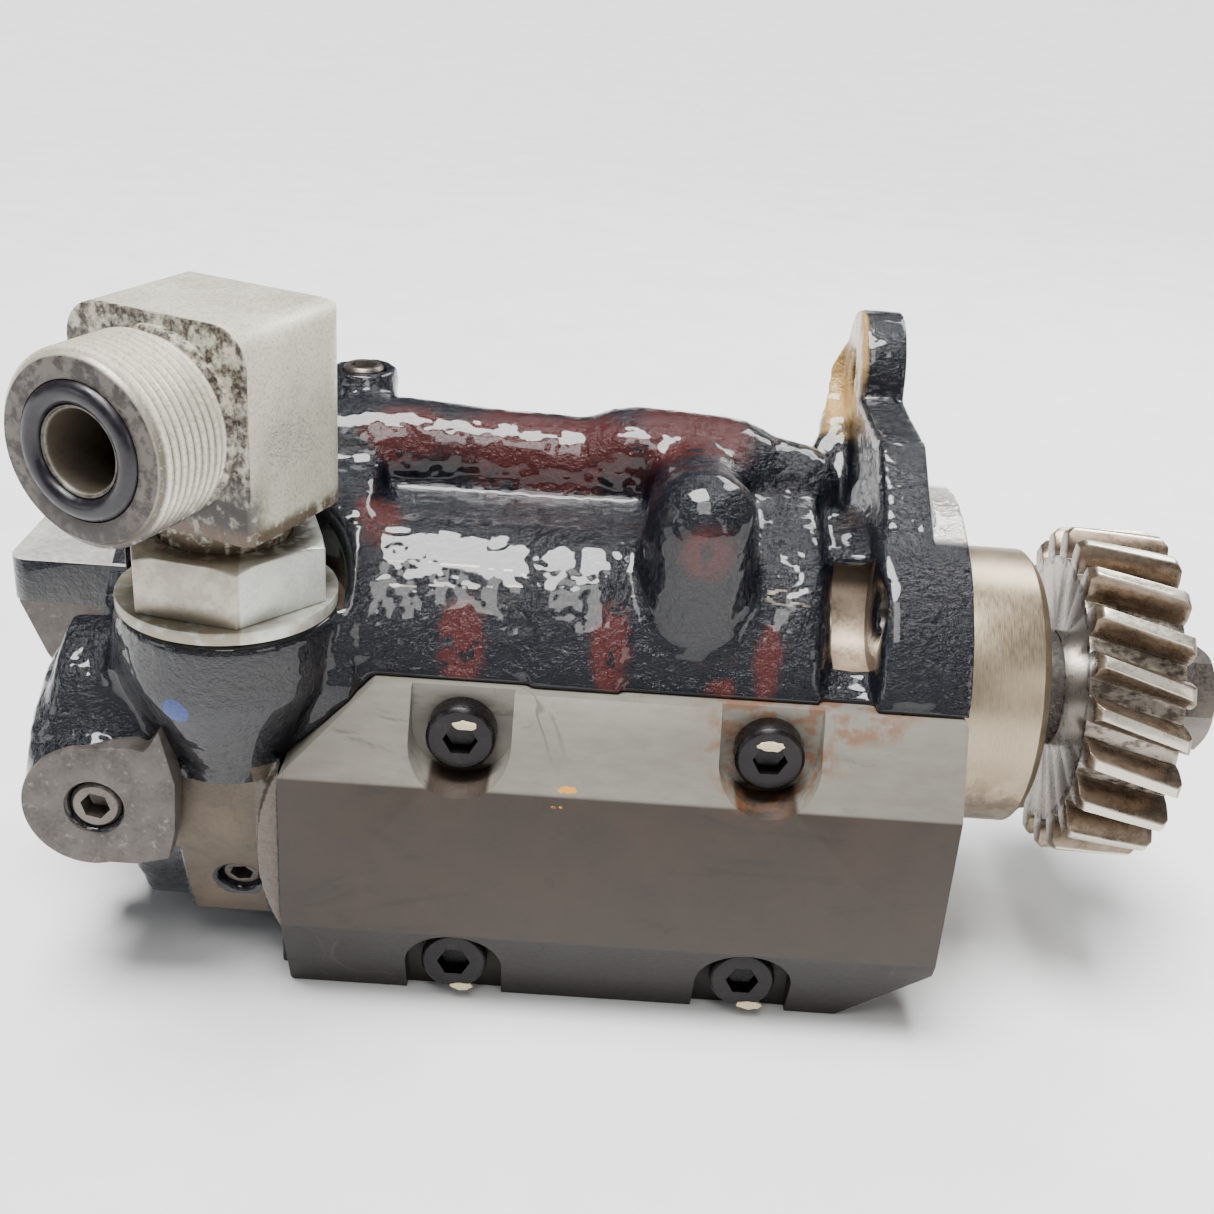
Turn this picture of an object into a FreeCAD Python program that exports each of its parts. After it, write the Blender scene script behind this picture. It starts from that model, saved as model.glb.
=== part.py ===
import FreeCAD, Part
import os
import math

# Gear pump for flange mounting, driven by a helical gear.
# Frame: X along the drive shaft (gear end positive), Z up along the outlet
# boss, -Y towards the side block. The origin is the centre of the flange's
# mounting face on the shaft axis. All sizes in millimetres.

V = FreeCAD.Vector
doc = FreeCAD.newDocument("gear_pump")
sheet = doc.addObject("Spreadsheet::Sheet", "dims")

CELLS = [
    ("pilot_rad", 35.2), ("nose_len", 23.0), ("nose_chamfer", 2.5),
    ("flange_rad", 50.0), ("flange_len", 21.5), ("ear_y", 62.5), ("ear_z", 61.5), ("ear_rad", 18.0),
    ("ear_front", -8.0), ("ear_rear", -20.0), ("flange_hole", 5.5), ("flange_hole_y", -29.5), ("flange_hole_z", 31.3),
    ("barrel_rad", 48.0), ("rear_rad", 50.0), ("neck_rad", 43.0), ("rear_face", -197.0), ("shoulder_x", -141.0),
    ("tube_rad", 12.0), ("tube_y", 12.0), ("tube_z", 44.0), ("lower_rad", 33.0), ("lower_y", -8.0),
    ("boss_x", -170.9), ("boss_y", -39.1), ("boss_rad", 25.0), ("boss_top", 28.4),
    ("lug_x", -199.8), ("lug_z", -17.2), ("lug_rad", 15.6), ("lug_face", -60.0),
    ("block_left", -156.3), ("block_right", -0.5), ("block_top", 14.2), ("block_bottom", -70.2),
    ("block_back", -43.5), ("block_face", -59.8), ("block_edge", -49.8), ("block_cut", 20.0),
    ("block_screw_xa", -115.7), ("block_screw_xb", -45.0), ("block_screw_za", 3.4), ("block_screw_zb", -59.0),
    ("pocket_rad", 11.75), ("pocket_floor", -47.5),
    ("shaft_rad", 15.0), ("seat_rad", 12.0), ("journal_rad", 10.0), ("bush_bore", 10.04), ("bush_rad", 12.0),
    ("nose_bore", 31.0), ("bearing_rear", -6.0), ("bearing_width", 16.0), ("ball_rad", 4.75), ("ball_pitch", 23.0), ("ball_count", 9),
    ("centre_dist", 36.0), ("cavity_rad", 21.15), ("pump_tip", 20.8), ("gears_rear", -177.0), ("gears_front", -141.0), ("cavity_front", -121.0),
    ("gear_rear", 31.6), ("gear_width", 23.4), ("gear_tip", 42.0), ("gear_teeth", 21), ("gear_helix", 16.0),
    ("nut_flats", 24.0), ("nut_height", 13.0), ("washer_thick", 3.0),
    ("elbow_turn", 23.6), ("elbow_axis", 76.5), ("elbow_reach", 43.7), ("thread_rad", 20.5), ("thread_pitch", 2.117),
    ("stud_rad", 16.6), ("port_rad", 16.9), ("hex_flats", 41.3), ("hex_top", 45.5), ("ring_top", 31.5), ("ring_rad", 24.9),
    ("cover_plate", 7.0), ("pad_top", 25.5), ("pad_thick", 11.0), ("pad_left", -229.0),
    ("relief_y", -51.6), ("relief_z", -26.0), ("relief_bore", 5.2),
]
for row, (alias, value) in enumerate(CELLS, start=1):
    sheet.set("A%d" % row, alias)
    sheet.set("B%d" % row, str(value))
    sheet.setAlias("B%d" % row, alias)
doc.recompute()
D = dict(CELLS)
ALIASES = sorted(D, key=len, reverse=True)


def ex(e):
    """An expression on the sheet: bare alias names get the sheet's name."""
    if isinstance(e, (int, float)):
        return repr(float(e))
    out, i = "", 0
    while i < len(e):
        for a in ALIASES:
            if e.startswith(a, i) and (i == 0 or not (e[i - 1].isalnum() or e[i - 1] in "_.")):
                out += "dims." + a
                i += len(a)
                break
        else:
            out += e[i]
            i += 1
    return out


COUNT = [0]


def new(kind, label=None):
    COUNT[0] += 1
    o = doc.addObject(kind, "f%03d" % COUNT[0])
    if label:
        o.Label = label
    return o


def at(o, x, y, z, rot=None):
    if rot is not None:
        o.Placement = FreeCAD.Placement(V(0, 0, 0), rot)
    for p, e in zip("xyz", (x, y, z)):
        o.setExpression("Placement.Base." + p, ex(e))
    return o


RX = FreeCAD.Rotation(V(0, 1, 0), 90)
RY = FreeCAD.Rotation(V(1, 0, 0), -90)


def diff(a, b):
    return "(%s)-(%s)" % (ex(a), ex(b))


def box(x0, x1, y0, y1, z0, z1):
    o = new("Part::Box")
    for p, e in (("Length", (x1, x0)), ("Width", (y1, y0)), ("Height", (z1, z0))):
        o.setExpression(p, diff(*e))
    return at(o, x0, y0, z0)


def cyl(axis, r, a, b, c, d):
    """Cylinder along an axis: x: a..b at (y, z); y: a..b at (x, z); z: a..b at (x, y)."""
    o = new("Part::Cylinder")
    o.setExpression("Radius", ex(r))
    o.setExpression("Height", diff(b, a))
    if axis == "x":
        return at(o, a, c, d, RX)
    if axis == "y":
        return at(o, c, a, d, RY)
    return at(o, c, d, a, FreeCAD.Rotation())


def cone(axis, r1, r2, a, b, c, d):
    o = new("Part::Cone")
    o.setExpression("Radius1", ex(r1))
    o.setExpression("Radius2", ex(r2))
    o.setExpression("Height", diff(b, a))
    if axis == "x":
        return at(o, a, c, d, RX)
    if axis == "y":
        return at(o, c, a, d, RY)
    return at(o, c, d, a, FreeCAD.Rotation())


def ball(r, x, y, z):
    o = new("Part::Sphere")
    o.setExpression("Radius", ex(r))
    return at(o, x, y, z, FreeCAD.Rotation())


def torus(r1, r2, x, y, z, rot=None):
    o = new("Part::Torus")
    o.setExpression("Radius1", ex(r1))
    o.setExpression("Radius2", ex(r2))
    return at(o, x, y, z, rot or FreeCAD.Rotation())


def fuse(*parts):
    if len(parts) == 1:
        return parts[0]
    o = new("Part::MultiFuse")
    o.Shapes = list(parts)
    return o


def join(*parts):
    """Fusion in steps of two, for long lists of touching shapes; each step has to gain volume."""
    o = parts[0]
    doc.recompute()
    for p in parts[1:]:
        f = new("Part::Fuse")
        f.Base = o
        f.Tool = p
        f.Refine = False
        doc.recompute()
        if f.Shape.Volume < o.Shape.Volume - 1 or f.Shape.Volume > o.Shape.Volume + p.Shape.Volume + 1:
            raise RuntimeError("fusion lost material at %s" % p.Name)
        o = f
    return o


def cut(base, *tools):
    o = new("Part::Cut")
    o.Base = base
    o.Tool = fuse(*tools)
    return o


def common(a, b):
    o = new("Part::MultiCommon")
    o.Shapes = [a, b]
    return o


def group(*parts):
    o = new("Part::Compound")
    o.Links = list(parts)
    return o


def rounded(o, axis, r):
    """Fillet the straight edges of a primitive that run along an axis."""
    doc.recompute()
    f = new("Part::Fillet")
    f.Base = o
    k = "xyz".index(axis)
    ids = []
    for i, e in enumerate(o.Shape.Edges, start=1):
        if len(e.Vertexes) == 2:
            v = e.Vertexes[1].Point - e.Vertexes[0].Point
            if v.Length > 1e-6 and abs(v[k]) / v.Length > 0.999 and e.Curve.TypeId == "Part::GeomLine":
                ids.append((i, r, r))
    f.Edges = ids
    return f


def body_sketch(plane):
    body = doc.addObject("PartDesign::Body", "b%03d" % COUNT[0])
    COUNT[0] += 1
    sk = body.newObject("Sketcher::SketchObject", "s%03d" % COUNT[0])
    org = [f for f in body.Origin.OriginFeatures if f.Role == plane][0]
    sk.AttachmentSupport = [(org, "")]
    sk.MapMode = "FlatFace"
    return body, sk


def polyline(sk, pts):
    """Closed outline; each corner is fixed by two dimensions bound to the sheet."""
    import Sketcher
    val = []
    for p in pts:
        val.append([float(sheet_eval(c)) for c in p])
    n = len(pts)
    sk.addGeometry([Part.LineSegment(V(val[i][0], val[i][1], 0), V(val[(i + 1) % n][0], val[(i + 1) % n][1], 0)) for i in range(n)], False)
    cons = [Sketcher.Constraint("Coincident", i, 2, (i + 1) % n, 1) for i in range(n)]
    bind = []
    for i in range(n):
        for k, name, axis in ((0, "DistanceX", -2), (1, "DistanceY", -1)):
            if abs(val[i][k]) < 1e-9:
                cons.append(Sketcher.Constraint("PointOnObject", i, 1, axis))
            else:
                cons.append(Sketcher.Constraint(name, -1, 1, i, 1, val[i][k]))
                bind.append((len(cons) - 1, pts[i][k], val[i][k]))
    sk.addConstraint(cons)
    for idx, e, v in bind:
        if isinstance(e, str):
            sk.setExpression("Constraints[%d]" % idx, ex(e))


def sheet_eval(e):
    if isinstance(e, (int, float)):
        return float(e)
    o = doc.getObject("probe") or doc.addObject("App::FeaturePython", "probe")
    if "v" not in o.PropertiesList:
        o.addProperty("App::PropertyFloat", "v")
    o.setExpression("v", ex(e))
    doc.recompute([o])
    return o.v


def revolved(pts, place=None):
    """PartDesign body turned about its X axis from an (x, r) outline."""
    body, sk = body_sketch("XZ_Plane")
    polyline(sk, pts)
    rev = body.newObject("PartDesign::Revolution", "r%03d" % COUNT[0])
    rev.Profile = sk
    rev.ReferenceAxis = (sk, ["H_Axis"])
    rev.Angle = 360.0
    body.Tip = rev
    if place is not None:
        body.Placement = place
    doc.recompute()
    return body


def padded(plane, pts, length, place=None):
    """PartDesign body padded from an outline on an origin plane."""
    body, sk = body_sketch(plane)
    polyline(sk, pts)
    pad = body.newObject("PartDesign::Pad", "p%03d" % COUNT[0])
    pad.Profile = sk
    pad.setExpression("Length", ex(length))
    body.Tip = pad
    if place is not None:
        body.Placement = place
    doc.recompute()
    return body


def prism_y(pts, y0, y1):
    """(x, z) outline extruded from y0 to y1. The XZ sketch pads towards -Y."""
    return padded("XZ_Plane", pts, diff(y1, y0), FreeCAD.Placement(V(0, sheet_eval(y1), 0), FreeCAD.Rotation()))


def prism_x(pts, x0, x1):
    """(y, z) outline extruded from x0 to x1."""
    return padded("YZ_Plane", pts, diff(x1, x0), FreeCAD.Placement(V(sheet_eval(x0), 0, 0), FreeCAD.Rotation()))


NODES = []


def node(label, o):
    o.Label = label
    NODES.append((label, o))
    return o


def hexagon(flats, turn=0.0):
    r = flats / 2.0 / math.cos(math.pi / 6)
    return [(r * math.cos(math.radians(60 * k + turn)), r * math.sin(math.radians(60 * k + turn))) for k in range(6)]


# ---------------------------------------------------------------- housing
barrel = cyl("x", "barrel_rad", "shoulder_x-4", -34, 0, 0)
ring_band = cyl("x", "barrel_rad+1.4", -101, -80, 0, 0)
rear_barrel = cyl("x", "rear_rad", "rear_face", "shoulder_x", 0, 0)
lower_a = cyl("x", "lower_rad", "rear_face", -104, "lower_y", "-centre_dist")
lower_b = cyl("x", 31.5, "rear_face", -104, 0, "-centre_dist")
neck = cyl("x", "neck_rad", -36, -10, 0, 0)
disc = fuse(cyl("x", "flange_rad", "ear_front", 0, 0, 0), cut(cyl("x", "flange_rad", "-flange_len", "ear_front+1", 0, 0), box(-30, 2, -60, 60, 46, 60)))
nose = revolved([(-5, 0), (-5, "pilot_rad"), ("nose_len-nose_chamfer", "pilot_rad"), ("nose_len", "pilot_rad-nose_chamfer"), ("nose_len", 0)])
ear = fuse(
    cyl("x", "ear_rad", "ear_rear", "ear_front", "ear_y", "ear_z"),
    prism_x([(-18.5, 46.2), (7, 61), (30, 60.2), (50, 60.5), (62, 79), (80, 66), (76, 50), (56, 20), (44, -12), (0, -20)], "ear_rear", "ear_front"))
gusset = prism_y([(-18, 100), (-21, 100), (-25.5, 94), (-27, 85), (-28, 71), (-33, 63), (-46, 58), (-64, 49), (-64, 40), (-18, 40)], 3, 12)
gusset.Placement = FreeCAD.Placement(V(0, 0, 0), FreeCAD.Rotation(V(1, 0, 0), math.degrees(math.atan2(D["ear_z"], D["ear_y"])) - 90)).multiply(gusset.Placement)
def gallery(r, x0, x1, lift):
    """Length of the gallery on top; it rises by 45 thousandths towards the rear."""
    o = new("Part::Cylinder")
    o.setExpression("Radius", ex(r))
    o.setExpression("Height", diff(x1, x0))
    o.Placement = FreeCAD.Placement(V(0, 0, 0), FreeCAD.Rotation(V(0, 1, 0), 90 + math.degrees(math.atan(0.045))))
    for p, e in zip("xyz", (x0, "tube_y", "tube_z+1.3+0.045*(-38-(%s))+(%r)" % (x0, lift))):
        o.setExpression("Placement.Base." + p, ex(e))
    return o


tube = (gallery("tube_rad", -150, -38, 0.0), ball("tube_rad-0.5", -38, "tube_y", "tube_z+1.3"),
            gallery("tube_rad+3.3", -82, -54, 1.1), ball("tube_rad+2.8", -54, "tube_y", "tube_z+3.1"), ball("tube_rad+2.8", -82, "tube_y", "tube_z+4.4"),
            cyl("x", "tube_rad+2", "rear_face", "shoulder_x", "tube_y", "tube_z+3"))
teardrop = fuse(cyl("z", 13.5, 26, 50, -64, -29), ball(13.5, -64, -29, 26), ball(13.5, -64, -29, 50), cyl("y", 12.5, -29, 10, -64, 47))
top_boss = cyl("z", 9, 40, 66.5, -150, 24)
block_pad = prism_y([("block_left-3.5", "block_bottom"), ("block_left-3.5", "block_top-block_cut-3"), ("block_left+block_cut-3", "block_top+1.5"),
                     ("block_right-1", "block_top+1.5"), ("block_right-1", "block_bottom+block_cut"), ("block_right-block_cut", "block_bottom")], "block_back", -12)
underside = prism_x([(-14, "block_bottom"), (-14, 0), (24, 0), (24, -40), (12, -52), (-6, "block_bottom")], -104, -12)
boss = fuse(cyl("z", "boss_rad", 12, "boss_top", "boss_x", "boss_y"), cone("z", 13, "boss_rad", -18, 12, "boss_x", "boss_y"),
            box("boss_x-16", "boss_x+20", -36, 0, -20, "boss_top-6"))
facets = prism_x([(-52, -12), (-52, -31), (-42.5, -56), (-30, -65), (-4, -66), (-4, -12)], -182.5, -157)
ramp = fuse(prism_x([(-28, 18), (-36, 17), (-47, 10), (-55, -2), (-57, -8), (-57, -20), (-28, -22)], -211, -184), prism_x([(-28, 10), (-40, 7), (-50, 1), (-56, -6), (-56, -20), (-28, -22)], -215, -184))
lug = fuse(cyl("y", "lug_rad", "lug_face", -28, "lug_x", "lug_z"), box("lug_x", -179.8, "lug_face", -28, "lug_z-14", "lug_z+8"))
rim = common(cyl("y", 47, -57, -40, -115.4, -28), box(-163, -156.6, -57, -40, -52, -6))
screw_boss = fuse(cyl("x", 9, "rear_face", "rear_face+20", 30, -50), ball(9, "rear_face+20", 30, -50))
inlet_boss = fuse(cyl("y", 21, 20, 54, -159, -18), box(-176, -142, 20, 44, -36, 0))
shell = fuse(barrel, ring_band, rear_barrel, lower_a, lower_b, neck, disc, nose)
pads = fuse(block_pad, underside, boss, facets, ramp, lug, rim, inlet_boss, screw_boss)
solid = join(fuse(shell, pads), *tube, teardrop, top_boss, ear, gusset)

shelf = box("shoulder_x", -76, -26, 0, 43, 62)
seat = prism_y([("block_left-0.2", "block_bottom-4"), ("block_left-0.2", "block_top-block_cut-0.1"), ("block_left+block_cut-0.1", "block_top+0.3"),
                (0.1, "block_top+0.3"), (0.1, "block_bottom-4")], -75, "block_back")
boss_spot = cyl("z", 26.6, "boss_top", 75, "boss_x", "boss_y")
nose_hole = cyl("x", "nose_bore", "bearing_rear", "nose_len+1", 0, 0)
ring_groove = cyl("x", 33, "bearing_rear+bearing_width", "bearing_rear+bearing_width+1.4", 0, 0)
passage = cyl("x", 18, "cavity_front-1", "bearing_rear+1", 0, 0)
cavity = fuse(cyl("x", "cavity_rad", "rear_face-1", "cavity_front", 0, 0), cyl("x", "cavity_rad", "rear_face-1", "cavity_front", 0, "-centre_dist"))
flange_holes = [cyl("x", "flange_hole", -31, 1, "flange_hole_y", "flange_hole_z"), cyl("x", "flange_hole", -40, 1, "-flange_hole_y", "-flange_hole_z"),
                cyl("x", "flange_hole", -60, 1, "ear_y", "ear_z")]
spots = [cyl("x", 14, -31, "-flange_len", "flange_hole_y", "flange_hole_z"), cyl("x", 14, -40, "-flange_len", "-flange_hole_y", "-flange_hole_z"),
         cyl("x", 11, -60, "ear_rear", "ear_y", "ear_z")]
outlet = [cyl("z", "port_rad", 5, 60, "boss_x", "boss_y"), cyl("z", 8, -22, 60, "boss_x", "boss_y"), cyl("z", 20, "boss_top-2.8", "boss_top+1", "boss_x", "boss_y"),
          cyl("y", 6.5, -40, -8, -163, -18)]
inlet = [cyl("y", 13.2, 38, 55, -159, -18), cyl("y", 10, 8, 55, -159, -18)]
lug_bore = cyl("y", 5.9, "lug_face-1", -40, "lug_x+1.5", "lug_z")
lug_counter = cyl("y", 6.9, "lug_face-1", "lug_face+1.5", "lug_x+1.5", "lug_z")
plug2_rot = FreeCAD.Rotation(V(1, 0, 0), 90 + 20.8)
plug2_dir = plug2_rot.multVec(V(0, 0, 1))
plug2_c = V(-168.8, -47.2, -43.6)


def plug2_cyl(r, a, b):
    o = new("Part::Cylinder")
    o.setExpression("Radius", ex(r))
    o.Height = b - a
    o.Placement = FreeCAD.Placement(plug2_c + plug2_dir * a, plug2_rot)
    return o


plug2_bore = [plug2_cyl(4.9, -14, 3), plug2_cyl(5.7, -1.2, 3)]
top_bore = cyl("z", 5.2, 54.5, 67.5, -150, 24)
block_taps = [cyl("y", 5.15, -44, -20, x, z) for x in ("block_screw_xa", "block_screw_xb") for z in ("block_screw_za", "block_screw_zb")]
relief_ports = [cyl("y", 3, -44, -22, x, "relief_z") for x in (-97, -122)]
COVER_SCREWS = [(0, 34), (30, 15), (34.5, -18), (30, -50), (-29, -44)]
cover_taps = [cyl("x", 3.35, "rear_face-1", "rear_face+21", y, z) for y, z in COVER_SCREWS]
DOWELS = [(-25, 13.9), (28.4, -40)]
dowel_holes = [cyl("x", 2, "rear_face-1", "rear_face+7", y, z) for y, z in DOWELS]
node("pump_housing", cut(solid, shelf, seat, boss_spot, nose_hole, ring_groove, passage, cavity, *(flange_holes + spots + outlet + inlet + [lug_bore, lug_counter]
     + plug2_bore + [top_bore] + block_taps + relief_ports + cover_taps + dowel_holes)))

# ---------------------------------------------------------------- rear cover
plate = fuse(cyl("x", 31.5, "rear_face-cover_plate", "rear_face", 0, 0), cyl("x", 30.5, "rear_face-cover_plate", "rear_face", 0, "-centre_dist"),
             box("rear_face-cover_plate", "rear_face", -30.5, 31.5, "-centre_dist", 0),
             *[cyl("x", 8, "rear_face-cover_plate", "rear_face", y, z) for y, z in COVER_SCREWS])
plate = cut(plate, box("rear_face-cover_plate-1", "rear_face+1", -60, -27.9, -36, 15.5))
pad = rounded(box("pad_left", "rear_face", -20, 22, "pad_top-pad_thick", "pad_top"), "z", 5)
pad_root = box("rear_face-10", "rear_face", -20, 22, "pad_top-pad_thick", "pad_top")
stem = prism_y([("pad_left+1.5", "pad_top-pad_thick+1"), ("pad_left+1.5", "pad_top-pad_thick-1"), (-222, 0), (-214, -14), ("rear_face", -18), ("rear_face", "pad_top-pad_thick+1")], -18, 18)
stem_low = cyl("x", 16, -212, "rear_face", 0, -8)
cover = fuse(plate, pad, pad_root, stem, stem_low)
seal_track = cut(fuse(cyl("x", 25.3, "rear_face-1.9", "rear_face+1", 0, 0), cyl("x", 25.3, "rear_face-1.9", "rear_face+1", 0, "-centre_dist")),
                 cyl("x", 22.7, "rear_face-3", "rear_face+2", 0, 0), cyl("x", 22.7, "rear_face-3", "rear_face+2", 0, "-centre_dist"))
cover_holes = [cyl("x", 4.3, -230, "rear_face+1", y, z) for y, z in COVER_SCREWS]
cover_spots = [cyl("x", 7.4, -232, "rear_face-cover_plate", y, z) for y, z in COVER_SCREWS]
cover_dowels = [cyl("x", 2, "rear_face-6", "rear_face+1", y, z) for y, z in DOWELS]
node("rear_cover", cut(cover, seal_track, *(cover_holes + cover_spots + cover_dowels)))
node("rear_cover_seal", cut(fuse(cyl("x", 25.2, "rear_face-1.85", "rear_face-0.02", 0, 0), cyl("x", 25.2, "rear_face-1.85", "rear_face-0.02", 0, "-centre_dist")),
                            cyl("x", 22.8, "rear_face-3", "rear_face+2", 0, 0), cyl("x", 22.8, "rear_face-3", "rear_face+2", 0, "-centre_dist")))
node("locating_dowels", group(*[cyl("x", 1.98, "rear_face-5.8", "rear_face+6.8", y, z) for y, z in DOWELS]))


def cap_screw(head_r, head_h, shank_r, length, flats, depth, place):
    """Socket head cap screw: under-head plane at x = 0, shank towards +X."""
    s = revolved([(-head_h, 0), (-head_h, head_r - 0.8), (0.8 - head_h, head_r), (0, head_r), (0, shank_r), (length - 1, shank_r), (length, shank_r - 1), (length, 0)])
    h = padded("YZ_Plane", hexagon(flats), depth, FreeCAD.Placement(V(-head_h, 0, 0), FreeCAD.Rotation()))
    c = cut(s, h)
    c.Placement = place
    return c


node("rear_cover_screws", group(*[cap_screw(6.5, 8, 3.3, 26, 6, 4, FreeCAD.Placement(V(D["rear_face"] - D["cover_plate"], y, z), FreeCAD.Rotation())) for y, z in COVER_SCREWS]))

# ---------------------------------------------------------------- gear set
DRIVEN = FreeCAD.Placement(V(0, 0, -D["centre_dist"]), FreeCAD.Rotation())


def bearing_block(x0, x1):
    outer = fuse(cyl("x", "cavity_rad-0.06", x0, x1, 0, 0), cyl("x", "cavity_rad-0.06", x0, x1, 0, "-centre_dist"))
    relief = [box("%s-1.2" % x1 if x0 == "rear_face+0.05" else x0, x1 if x0 == "rear_face+0.05" else "%s+1.2" % x0, y0, y1, -22, -14) for y0, y1 in ((-12, -4), (4, 12))]
    return cut(outer, cyl("x", "bush_rad", "rear_face-5", -110, 0, 0), cyl("x", "bush_rad", "rear_face-5", -110, 0, "-centre_dist"), *relief)


node("rear_bearing_block", bearing_block("rear_face+0.05", "gears_rear-0.05"))
node("front_bearing_block", bearing_block("gears_front+0.05", "cavity_front-0.05"))


def sleeve(x0, x1, z):
    return cut(cyl("x", "bush_rad", x0, x1, 0, z), cyl("x", "bush_bore", -200, -110, 0, z))


node("bearing_bushes", group(*[sleeve(a, b, z) for a, b in (("rear_face+0.05", "gears_rear-0.05"), ("gears_front+0.05", "cavity_front-0.05")) for z in (0, "-centre_dist")]))


def tooth_points(teeth, module, tip, root, thick_shift, pressure, profile_shift=0.0, flank=9, centre=0.0):
    """One gear outline as a list of spans: flank points up, tip, flank points down."""
    rp = teeth * module / 2.0
    rb = rp * math.cos(pressure)
    half = math.pi / (2 * teeth) + 2 * profile_shift * math.tan(pressure) / teeth - thick_shift / rp
    inv_p = math.tan(pressure) - pressure
    start = max(rb, root + 0.3)
    pts = []
    for k in range(flank):
        r = start + (tip - start) * k / (flank - 1.0)
        a = math.acos(min(1.0, rb / r))
        pts.append((r, half + inv_p - (math.tan(a) - a)))
    return pts, rp


def gear_wire(x, turn, teeth, pts, root):
    """Closed gear outline in the plane X = x, turned by an angle about +X; a tooth points at angle 0 (+Y) for turn 0."""
    edges = []
    pitch = 2 * math.pi / teeth

    def P(r, a):
        return V(x, r * math.cos(a), r * math.sin(a))

    for t in range(teeth):
        c = turn + t * pitch
        nxt = c + pitch
        up = [P(root, c - pts[0][1])] if pts[0][0] > root + 1e-6 else []
        lo = [P(r, c - a) for r, a in pts]
        hi = [P(r, c + a) for r, a in reversed(pts)]
        s1 = Part.BSplineCurve()
        s1.interpolate(lo)
        s2 = Part.BSplineCurve()
        s2.interpolate(hi)
        tip_r = pts[-1][0]
        if up:
            edges.append(Part.LineSegment(P(root, c - pts[0][1] - 0.0), lo[0]).toShape())
        edges.append(s1.toShape())
        edges.append(Part.Arc(lo[-1], P(tip_r, c), hi[0]).toShape())
        edges.append(s2.toShape())
        if up:
            edges.append(Part.LineSegment(hi[-1], P(root, c + pts[0][1])).toShape())
        edges.append(Part.Arc(P(root, c + pts[0][1]), P(root, (c + nxt) / 2), P(root, nxt - pts[0][1])).toShape())
    return Part.Wire(edges)


def spur_gear(x0, x1, turn):
    pts, rp = tooth_points(12, 3.0, D["pump_tip"], 14.35, 0.10, math.radians(20), 0.0)
    w = gear_wire(x0, turn, 12, pts, 14.35)
    s = Part.Face(w).extrude(V(x1 - x0, 0, 0))
    f = new("Part::Feature")
    f.Shape = s
    return f


gx0, gx1 = D["gears_rear"] + 0.1, D["gears_front"] - 0.1
# Drive gear: a tooth points straight down at the mesh point; driven gear: a space points straight up.
drive_teeth = spur_gear(gx0, gx1, -math.pi / 2)
shaft_turned = revolved([
    ("rear_face+1", 0), ("rear_face+1", "journal_rad-1"), ("rear_face+2", "journal_rad"), ("gears_rear+0.1", "journal_rad"), ("gears_rear+0.1", 13.5),
    ("gears_front-0.1", 13.5), ("gears_front-0.1", "journal_rad"), ("cavity_front+3", "journal_rad"), ("cavity_front+3", "shaft_rad"),
    ("gear_rear", "shaft_rad"), ("gear_rear", "seat_rad"), (54.0, "seat_rad"), (54.0, 7.9), (70.5, 7.9), (72, 6.6), (72, 0)])
key_slot = box("gear_rear+3", "gear_rear+19", -3, 3, "seat_rad-3", 20)
node("drive_shaft", cut(fuse(shaft_turned, drive_teeth), key_slot))
driven_teeth = spur_gear(gx0, gx1, math.pi / 2 + math.pi / 12)
driven_teeth.Placement = DRIVEN
driven_turned = revolved([
    ("rear_face+1", 0), ("rear_face+1", "journal_rad-1"), ("rear_face+2", "journal_rad"), ("gears_rear+0.1", "journal_rad"), ("gears_rear+0.1", 13.5),
    ("gears_front-0.1", 13.5), ("gears_front-0.1", "journal_rad"), ("cavity_front-2", "journal_rad"), ("cavity_front-1", "journal_rad-1"), ("cavity_front-1", 0)], DRIVEN)
node("driven_gear_shaft", fuse(driven_turned, driven_teeth))

# ---------------------------------------------------------------- drive end
bx0 = D["bearing_rear"]
bw = D["bearing_width"]
bm = bx0 + bw / 2.0
race_o = cut(revolved([(bx0, 26.6), (bx0, 30.2), (bx0 + 0.8, "nose_bore"), (bx0 + bw - 0.8, "nose_bore"), (bx0 + bw, 30.2), (bx0 + bw, 26.6)]),
             torus("ball_pitch", "ball_rad+0.06", bm, 0, 0, RX))
node("bearing_outer_race", race_o)
race_i = cut(revolved([(bx0, "shaft_rad"), (bx0, 19.4), (bx0 + bw, 19.4), (bx0 + bw, "shaft_rad")]), torus("ball_pitch", "ball_rad+0.06", bm, 0, 0, RX))
node("bearing_inner_race", race_i)
balls = []
cage_holes = []
n_balls = int(D["ball_count"])
for k in range(n_balls):
    a = 2 * math.pi * k / n_balls
    y, z = math.cos(a), math.sin(a)
    balls.append(ball("ball_rad", bm, "ball_pitch*%r" % y, "ball_pitch*%r" % z))
    cage_holes.append(ball("ball_rad+0.12", bm, "ball_pitch*%r" % y, "ball_pitch*%r" % z))
node("bearing_balls", group(*balls))
node("bearing_cage", cut(revolved([(bm - 5.6, 21.6), (bm - 5.6, 24.4), (bm + 5.6, 24.4), (bm + 5.6, 21.6)]), *cage_holes))
clip = cut(cyl("x", 32.9, bx0 + bw + 0.05, bx0 + bw + 1.35, 0, 0), cyl("x", 28.2, bx0 + bw - 1, bx0 + bw + 3, 0, 0), box(bx0 + bw - 1, bx0 + bw + 3, -5, 5, -40, -20))
node("bearing_clip", clip)
node("shaft_seal", revolved([(13.0, 30.95), (13.0, 29.2), (19.5, 29.2), (19.5, 20.5), (15.5, 17.5), (14.2, 17.2), (14.2, 15.9), (17.0, 15.06), (18.6, 15.06), (21.5, 16.4), (21.5, 30.95)]))

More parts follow.
